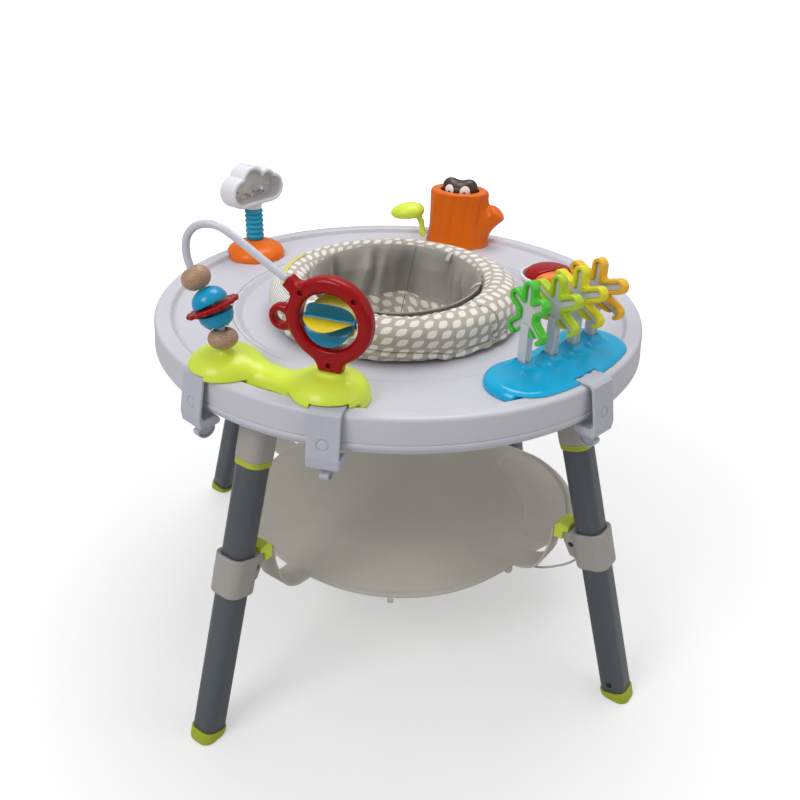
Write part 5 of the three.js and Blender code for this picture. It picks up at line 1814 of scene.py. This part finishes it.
def pad_relief(azimuth, radius, z):
    """Outward displacement of the cover in mm."""
    outer = np.clip((radius - 158) / 14, 0, 1)
    # hem along the foot of the outer wall: a crease with a turned flap below it
    crease = 511.0 + 0.9 * wave(azimuth, 5) + 0.6 * wave(azimuth, 13, 1) + hem_rise(azimuth)
    relief = -3.4 * outer * np.exp(-((z - crease) / 1.3) ** 2)
    relief -= 2.6 * np.clip((radius - 166) / 8, 0, 1) * np.exp(-((z - crease - 7.0) / 7.5) ** 2)
    relief += ((2.2 + 0.9 * wave(azimuth, 31, 1.0)) * outer
               * np.exp(-((z - (crease - 4.6)) / 2.6) ** 2))
    relief += 2.0 * outer * near(azimuth, FRONT_CORNER, 9) * np.exp(-((z - 506) / 5.0) ** 2)
    relief -= 2.4 * outer * near(azimuth, FRONT_CORNER, 1.6) * np.exp(-((z - 506) / 6.0) ** 2)
    # pull wrinkles running up from the hem: turns, height, phase
    wrinkles = sum(height * wave(azimuth, count, phase + 0.03 * (z - 510)) for
                   count, height, phase in
                   ((37, .34, .3), (53, .30, 1.7), (71, .22, 4.0), (23, .35, 2.2)))
    patchy = 0.5 + 0.5 * wave(azimuth, 3, 0.8) * wave(azimuth, 7, 2.0)
    relief += 1.35 * wrinkles * outer * np.clip((534 - z) / 22, 0, 1) * patchy
    # puckers where the inner edge is gathered into the sling
    inner = np.clip((150 - radius) / 14, 0, 1)
    pucker = wave(azimuth, 86) * 0.5 + wave(azimuth, 61, 2) * 0.5
    relief += pucker * inner * np.clip((z - 520) / 20, 0, 1)
    # soft lumps of the foam
    relief += 0.48 * wave(azimuth, 4, 0.5) * np.sin((z + radius) / 19.0)
    relief += 0.45 * wave(azimuth, 11, 1.3) * np.cos((z - radius) / 11.0)
    # upright joins: azimuth, depth
    for center, depth in ((-42, 4.2), (86, 2.4), (-75, 1.8), (-138, 1.8), (180, 1.2)):
        relief += 0.45 * near(azimuth, center, 7.5) - depth * near(azimuth, center, 2.1)
    return relief


def build_pad():
    obj = pad_cover()
    puff_pad(obj)
    smooth = obj.modifiers.new("sub", "SUBSURF")
    smooth.levels = 3
    smooth.uv_smooth = "NONE"
    apply_modifiers(obj)
    coords, normals = read_coords(obj), read_normals(obj)
    x, y, z = coords[:, 0] * 1000 - SEAT_X, coords[:, 1] * 1000 - SEAT_Y, coords[:, 2] * 1000
    azimuth = np.degrees(np.arctan2(y, x))
    relief = pad_relief(azimuth, np.hypot(x, y), z)
    x, y, z = ((coords + normals * relief[:, None] * MM) * 1000).T
    # stay inside the ring's own space
    x, y = x - SEAT_X, y - SEAT_Y
    radius = np.hypot(x, y)
    share = np.where(radius > PAD_MAX_RADIUS, PAD_MAX_RADIUS / radius, 1.0)
    z = np.maximum(z, 500.75 + 0.25 * wave(azimuth, 9))
    write_coords(obj, np.column_stack([SEAT_X + x * share, SEAT_Y + y * share, z]) * MM)
    put(obj, "seat", "seat_pad", slot="pad_fabric")
    return obj


pad = build_pad()
pad_tree = BVHTree.FromObject(pad, bpy.context.evaluated_depsgraph_get())


def on_pad(azimuth, section_angle, lift):
    """Point on the cover; section_angle is 0 outwards and 90 up, lift is in mm."""
    around, across = radians(azimuth), radians(section_angle)
    core = Vector((SEAT_X + PAD_CORE_RADIUS * cos(around),
                   SEAT_Y + PAD_CORE_RADIUS * sin(around), PAD_CORE_Z)) * MM
    out = Vector((cos(across) * cos(around), cos(across) * sin(around), sin(across)))
    hit, normal, _, _ = pad_tree.ray_cast(core + out * 0.08, -out)
    if hit is None:
        hit, normal, _, _ = pad_tree.find_nearest(core + out * PAD_CORE_REACH * MM)
    return np.array(hit + normal * lift * MM) * 1000


def pad_patch(name, azimuths, sections, cells_u, cells_v, mat, lift):
    """Thin cloth laid on the pad between two azimuths and two section angles."""
    (start_u, end_u), (start_v, end_v) = azimuths, sections
    points = np.array([[on_pad(start_u + (end_u - start_u) * i / cells_u,
                               start_v + (end_v - start_v) * j / cells_v, lift)
                        for j in range(cells_v + 1)] for i in range(cells_u + 1)])
    # even out the inner points so the cloth lies smoothly
    for _ in range(2):
        evened = points.copy()
        evened[1:-1, 1:-1] = (points[1:-1, 1:-1] * 2 + points[:-2, 1:-1] + points[2:, 1:-1]
                              + points[1:-1, :-2] + points[1:-1, 2:]) / 6
        points = evened
    obj = grid_mesh(name, points, mat, radians(end_u - start_u) * PAD_RADIUS * MM,
                    radians(end_v - start_v) * PAD_CORE_REACH * MM, closed=False)
    thick = obj.modifiers.new("cloth", "SOLIDIFY")
    thick.thickness, thick.offset = 0.9 * MM, 0.0
    bevel = obj.modifiers.new("edge", "BEVEL")
    bevel.width, bevel.segments, bevel.limit_method = 0.0003, 2, "ANGLE"
    put(obj, "seat")


def pad_seams():
    # dark cord sunk along the hem's crease: painted shade for the crease
    path = []
    for i in range(420):
        azimuth = 360 * i / 420
        section = -40 + 1.2 * sin(radians(5 * azimuth)) + 2.1 * float(hem_rise(azimuth))
        path.append(on_pad(azimuth, section, -0.1))
    path.append(path[0])
    put(sweep("pad_hem_crease_shade", path, 0.55, MAT["seam"], 8, cap=False), "seat")
    # azimuth, first and last section angle of the upright joins
    for k, (azimuth, start, end) in enumerate(((-42, -36, 118), (86, -30, 120))):
        path = [on_pad(azimuth + 3.0 * sin(pi * t), start + (end - start) * t, -0.15)
                for t in np.linspace(0, 1, 60)]
        put(sweep("pad_join_seam_%d" % k, path, 0.65, MAT["seam"], 8), "seat")
    # a short row of pale stitches near the front corner
    for k in range(10):
        path = [on_pad(-72.5 + 1.35 * (k + 0.62 * t), -15.0 + 0.5 * (k % 2), 0.15)
                for t in np.linspace(0, 1, 5)]
        put(sweep("pad_tack_stitch_%d" % k, path, 0.42, MAT["tag"], 6), "seat")


pad_patch("label_panel", (158, 212), (6, 79), 46, 24, MAT["label"], lift=0.7)
pad_patch("label_band", (152, 197), (81, 98), 40, 6, MAT["tag_yellow"], lift=0.95)
pad_patch("label_strip", (197.6, 212), (81, 97), 16, 6, MAT["label"], lift=0.95)
pad_seams()

# ------------------------------------------------------------------ seat sling
SLING_BOTTOM = 391.2
# radius, z
SLING_PROFILE = spline([
    (0, SLING_BOTTOM), (30, 391.6), (60, 394.0), (84, 401.5), (97, 415), (105, 434), (112, 458),
    (117.5, 482), (121.5, 508), (124.5, 528), (127.5, 541), (131.5, 548.5)], 8)
SLING_AROUND, SLING_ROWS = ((420, 130))
sling_along = arc_lengths(SLING_PROFILE)
SLING_ARC = np.linspace(0.03, 1, SLING_ROWS) * sling_along[-1]
SLING_RADII, SLING_HEIGHTS = (np.interp(SLING_ARC, sling_along, column)
                              for column in SLING_PROFILE.T)
SLING_UV_RADIUS = 0.112     # m
SEAM_Z = 474.0              # grey cloth above, printed cloth below
HOLE_Z, HOLE_RADIUS = 438, 36.5
HOLE_DIRECTIONS = [(cos(radians(azimuth)), sin(radians(azimuth))) for azimuth in (-52, -128)]
# turns, height, phase, twist with z
SLING_WAVES = [(5, 3.0, 0.4, 0.010), (8, 2.4, 2.1, -0.016), (13, 1.5, 1.0, 0.022),
               (21, 0.8, 3.0, -0.02), (34, 0.35, 0.7, 0.03)]
# azimuth, height, width in degrees, lean in degrees per mm
SLING_FOLDS = [
    (102, -6.4, 2.6, 0.10), (108, 4.4, 3.0, 0.12), (116, -8.6, 3.2, 0.17), (125, 5.0, 4.2, 0.14),
    (134, -3.6, 3.2, 0.10), (143, -3.6, 3.2, 0.02), (166, -3.0, 3.4, -0.04),
    (63, -2.6, 2.6, -0.05), (44, 2.2, 3.0, -0.03), (28, -3.0, 3.2, -0.06), (4, -2.4, 3.4, 0.02),
    (205, -3.2, 3.4, 0.03), (248, 2.4, 3.6, 0.02), (292, -2.8, 3.4, -0.03),
    (334, -2.4, 3.2, 0.03)]


def drape(angle, z):
    """Folds of the sling, fading at the top edge and the bottom."""
    fade = np.clip((549 - z) / 30, 0, 1) ** 1.1 * np.clip((z - 398) / 60, 0, 1)
    soft = sum(height * np.sin(count * angle + phase + twist * (z - 480))
               for count, height, phase, twist in SLING_WAVES)
    sharp = sum(height * np.exp(-(wrap(np.degrees(angle) - azimuth + lean * (z - 500))
                                  / width) ** 2)
                for azimuth, height, width, lean in SLING_FOLDS)
    return (1.5 * soft + sharp - 4.0) * fade


def sling_radius(angle, z, base):
    """Radius of the draped cloth; base is the plain profile's radius."""
    tuck = OPENING_INSET * np.clip((z - 500) / 45, 0, 1)
    return base + drape(angle, z) + opening(angle) * base / 125.5 - tuck


def profile_radius(z):
    return float(np.interp(z, SLING_HEIGHTS, SLING_RADII))


def back_seam_azimuth(z):
    return 78 + 0.075 * (548 - z)


def hole_point(out, side, z, direction):
    """Point out from the seat's axis along direction and to its side."""
    c, s = direction
    return SEAT_X + out * c - side * s, SEAT_Y + out * s + side * c, z


def round_holes(verts, used, hole_away, x, y):
    """Pull the ragged edge of each leg hole onto a clean circle."""
    away = hole_away.reshape(-1)
    for vertex in np.where(used[:-1] & (away < HOLE_RADIUS + 0.2))[0]:
        i, j = divmod(vertex, SLING_ROWS)
        c, s = max(HOLE_DIRECTIONS, key=lambda way: x[i, j] * way[0] + y[i, j] * way[1])
        side = y[i, j] * c - x[i, j] * s
        out = x[i, j] * c + y[i, j] * s
        grow = HOLE_RADIUS / max(away[vertex], 1e-6)
        verts[vertex] = hole_point(out, side * grow,
                                   HOLE_Z + (verts[vertex][2] - HOLE_Z) * grow, (c, s))


def build_sling():
    count = SLING_ROWS
    angle, z = np.meshgrid(np.arange(SLING_AROUND) / SLING_AROUND * 2 * pi, SLING_HEIGHTS,
                           indexing="ij")
    radius = sling_radius(angle, z, SLING_RADII[None, :])
    # gathered seam between the two cloths
    radius = radius - 1.5 * np.exp(-((z - SEAM_Z) / 1.5) ** 2)
    radius = radius + 0.6 * np.exp(-((z - SEAM_Z - 4) / 3.0) ** 2) * np.sin(70 * angle)
    # back seam
    aside = wrap(np.degrees(angle) - back_seam_azimuth(z))
    radius = radius - 1.7 * np.exp(-(aside / 0.55) ** 2) + 0.6 * np.exp(-(aside / 2.0) ** 2)
    x, y = radius * np.cos(angle), radius * np.sin(angle)
    verts = np.stack([SEAT_X + x, SEAT_Y + y, z], 2).reshape(-1, 3)
    hole_away = np.full(x.shape, 1e9)
    for c, s in HOLE_DIRECTIONS:
        away = length((y * c - x * s) / 0.96, z - HOLE_Z)
        hole_away = np.where(x * c + y * s > 20, np.minimum(hole_away, away), hole_away)

    faces, uvs, mat_indices = [], [], []
    for i in range(SLING_AROUND):
        after = (i + 1) % SLING_AROUND
        here, there = i * count, after * count
        left, right = (k / SLING_AROUND * 2 * pi * SLING_UV_RADIUS for k in (i, i + 1))
        for j in range(count - 1):
            if max(hole_away[i, j], hole_away[after, j], hole_away[i, j + 1],
                   hole_away[after, j + 1]) < HOLE_RADIUS:
                continue
            faces.append((here + j, here + j + 1, there + j + 1, there + j))
            low, high = SLING_ARC[j] * MM, SLING_ARC[j + 1] * MM
            uvs += [(left, low), (left, high), (right, high), (right, low)]
            mat_indices.append(1 if SLING_HEIGHTS[j] < SEAM_Z - 0.5 else 0)
    # fan closing the bottom
    center = len(verts)
    verts = np.vstack([verts, [[SEAT_X, SEAT_Y, SLING_BOTTOM]]])
    for i in range(SLING_AROUND):
        faces.append((center, i * count, (i + 1) % SLING_AROUND * count))
        left, right = (k / SLING_AROUND * 0.7 for k in (i, i + 1))
        uvs += [(left, 0), (left, 0.004), (right, 0.004)]
        mat_indices.append(1)
    used = np.zeros(len(verts), bool)
    for face in faces:
        used[list(face)] = True
    round_holes(verts, used, hole_away, x, y)

    obj = mesh_object("seat_sling", verts, faces, [MAT["liner"], MAT["pad"]], uvs=uvs,
                      mat_indices=mat_indices)
    # fold depth, which the liner's material turns into painted shade in the valleys and a painted
    # highlight on the ridges
    fold = drape(angle, z)
    fold = np.append(((fold - fold.mean(axis=0, keepdims=True)) / 7.0).reshape(-1), 0.0)
    attribute = obj.data.attributes.new("fold", "FLOAT", "POINT")
    attribute.data.foreach_set("value", np.clip(fold, -1, 1).astype(np.float32))
    thick = obj.modifiers.new("cloth", "SOLIDIFY")
    thick.thickness, thick.offset, thick.use_rim = 0.0016, 0.0, True
    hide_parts("seat_liner")
    apply_modifiers(obj)
    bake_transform(obj)


def leg_hole_bindings():
    for k, direction in enumerate(HOLE_DIRECTIONS):
        c, s = direction
        path = []
        for t in np.linspace(0, 2 * pi, 121):
            side, z = HOLE_RADIUS * 0.96 * cos(t), HOLE_Z + HOLE_RADIUS * sin(t)
            base = profile_radius(z)
            out = sqrt(max(base * base - side * side, 1))
            angle = atan2(out * s + side * c, out * c - side * s)
            radius = float(sling_radius(angle, z, base))
            out = sqrt(max(radius * radius - side * side, 1))
            path.append(hole_point(out, side, z, direction))
        put(sweep("leg_hole_binding_%d" % k, path, 2.1, MAT["trim"], 10), "seat_sling")


def back_seam():
    path = []
    for z in np.linspace(404, 547, 90):
        angle = radians(back_seam_azimuth(z))
        radius = float(sling_radius(angle, z, profile_radius(z))) - 1.4
        path.append((SEAT_X + radius * cos(angle), SEAT_Y + radius * sin(angle), z))
    obj = sweep("sling_back_seam", path, 0.7, MAT["seam"], 8)
    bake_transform(obj)


def liner_piping():
    """Piping between the sling and the pad."""
    path = []
    for angle in np.linspace(0, 2 * pi, 361):
        radius = 126.4 + float(opening(angle))
        path.append((SEAT_X + radius * cos(angle), SEAT_Y + radius * sin(angle),
                     547.6 + 0.35 * sin(9 * angle)))
    put(sweep("liner_piping", path, 0.9, MAT["piping"], 8, cap=False), "seat")


def satin_loops():
    """Small loops of tape at the inner edge."""
    half_width, half_thick = 3.5, 0.35
    # radius, z
    side_view = spline([(134, 551), (128.5, 550), (123, 545.5), (120.5, 541), (122.5, 539.5),
                        (126, 543.5), (131, 547)], 6)
    for k, azimuth in enumerate((52.0, -8.0)):
        path = side_view + np.array([float(opening(radians(azimuth))) - OPENING_INSET, 0.0])
        rings = []
        for (radius, z), (ahead_r, ahead_z) in zip(path, tangents(path)):
            ring = [(radius - ahead_z * side_z * half_thick, side_y * half_width,
                     z + ahead_r * side_z * half_thick)
                    for side_y, side_z in ((-1, -1), (1, -1), (1, 1), (-1, 1))]
            rings.append(turn(ring, azimuth, (SEAT_X, SEAT_Y, 0)))
        put(loft("satin_loop_%d" % k, rings, MAT["tape"]), "seat")


build_sling()
leg_hole_bindings()
back_seam()
liner_piping()
satin_loops()


# ------------------------------------------------------------------ floor, lights, world, camera
def floor_paint():
    """Grey that the camera sees brighten away from the middle; invisible from below."""
    mat = Shader("floor_paint")
    place = mat.node("NewGeometry").outputs["Position"]
    distance = mat.node("VectorMath", operation="LENGTH")
    mat.link(place, distance.inputs[0])
    glow = mat.remap(distance.outputs["Value"], span=(0.4, 2.4), to=(0.38, 0.9), smooth=True)
    seen = mat.node("LightPath").outputs["Is Camera Ray"]
    mat.set(Base_Color=(0.60, 0.60, 0.605, 1), Emission_Color=(1, 1, 1, 1),
            Emission_Strength=mat.math("MULTIPLY", glow, seen), Roughness=0.85,
            Specular_IOR_Level=0.1)
    through = mat.node("BsdfTransparent")
    blend = mat.node("MixShader")
    mat.link(mat.node("NewGeometry").outputs["Backfacing"], blend.inputs[0])
    mat.link(mat.surface.outputs[0], blend.inputs[1])
    mat.link(through.outputs[0], blend.inputs[2])
    mat.link(blend.outputs[0], mat.out.inputs[0])
    return mat.material


def build_floor(half_size=45.0):
    mesh = bpy.data.meshes.new("floor")
    corners = [(x * half_size, y * half_size, 0) for x, y in ((-1, -1), (1, -1), (1, 1), (-1, 1))]
    mesh.from_pydata(corners, [], [(0, 1, 2, 3)])
    obj = bpy.data.objects.new("floor", mesh)
    bpy.context.scene.collection.objects.link(obj)
    mesh.materials.append(floor_paint())
    obj.location.z = -0.0004
    return obj


def area_light(name, location, target, size, power):
    light = bpy.data.lights.new(name, "AREA")
    light.shape = "RECTANGLE"
    light.size = light.size_y = size
    light.energy = power
    light.color = (1, 1, 1)
    obj = bpy.data.objects.new(name, light)
    obj.location = location
    obj.rotation_mode = "QUATERNION"
    obj.rotation_quaternion = (Vector(target) - Vector(location)).to_track_quat("-Z", "Y")
    bpy.context.scene.collection.objects.link(obj)
    return obj


def build_world():
    """White to the camera; a vertical grey gradient for lighting."""
    world = bpy.data.worlds.new("studio")
    bpy.context.scene.world = world
    world.use_nodes = True
    nodes, links = world.node_tree.nodes, world.node_tree.links
    coords = nodes.new("ShaderNodeTexCoord")
    parts = nodes.new("ShaderNodeSeparateXYZ")
    gradient = nodes.new("ShaderNodeMapRange")
    links.new(coords.outputs["Generated"], parts.inputs[0])
    links.new(parts.outputs["Z"], gradient.inputs[0])
    for key, value in (("From Min", 0.0), ("From Max", 1.0), ("To Min", 0.40), ("To Max", 0.62)):
        gradient.inputs[key].default_value = value
    background = nodes["Background"]
    background.inputs[0].default_value = (1, 1, 1, 1)
    choice = nodes.new("ShaderNodeMix")
    path = nodes.new("ShaderNodeLightPath")
    links.new(path.outputs["Is Camera Ray"], choice.inputs[0])
    links.new(gradient.outputs[0], choice.inputs[2])
    choice.inputs[3].default_value = 1.0
    links.new(choice.outputs[0], background.inputs[1])


def build_camera(location, pitch, roll, lens):
    """Camera facing +Y, pitched down and rolled, in mm and degrees."""
    data = bpy.data.cameras.new("camera")
    data.sensor_width = 36.0
    data.lens = lens
    data.clip_start, data.clip_end = 0.01, 50
    obj = bpy.data.objects.new("camera", data)
    bpy.context.scene.collection.objects.link(obj)
    pitch, roll = radians(pitch), radians(roll)
    forward = Vector((0, cos(pitch), -sin(pitch)))
    upward = Vector((0, sin(pitch), cos(pitch)))
    right = Vector((1, 0, 0))
    pose = Matrix((right * cos(roll) + upward * sin(roll),
                   -right * sin(roll) + upward * cos(roll), -forward)).transposed().to_4x4()
    pose.translation = Vector(location) * MM
    obj.matrix_world = pose
    bpy.context.scene.camera = obj


build_floor()
area_light("key", location=(-1.5, -1.6, 2.2), target=(0, 0, 0.35), size=1.2, power=27)
area_light("fill", location=(2.4, -0.8, 1.6), target=(0, 0, 0.4), size=1.6, power=8)
area_light("top", location=(0.2, 0.7, 2.7), target=(0, 0, 0.4), size=1.3, power=27)
build_world()
bpy.context.scene.view_settings.view_transform = "Standard"
bpy.context.scene.view_settings.look = "None"
build_camera(location=(5.43, -1145.3, 990.97), pitch=29.318, roll=1.689, lens=38.3715)
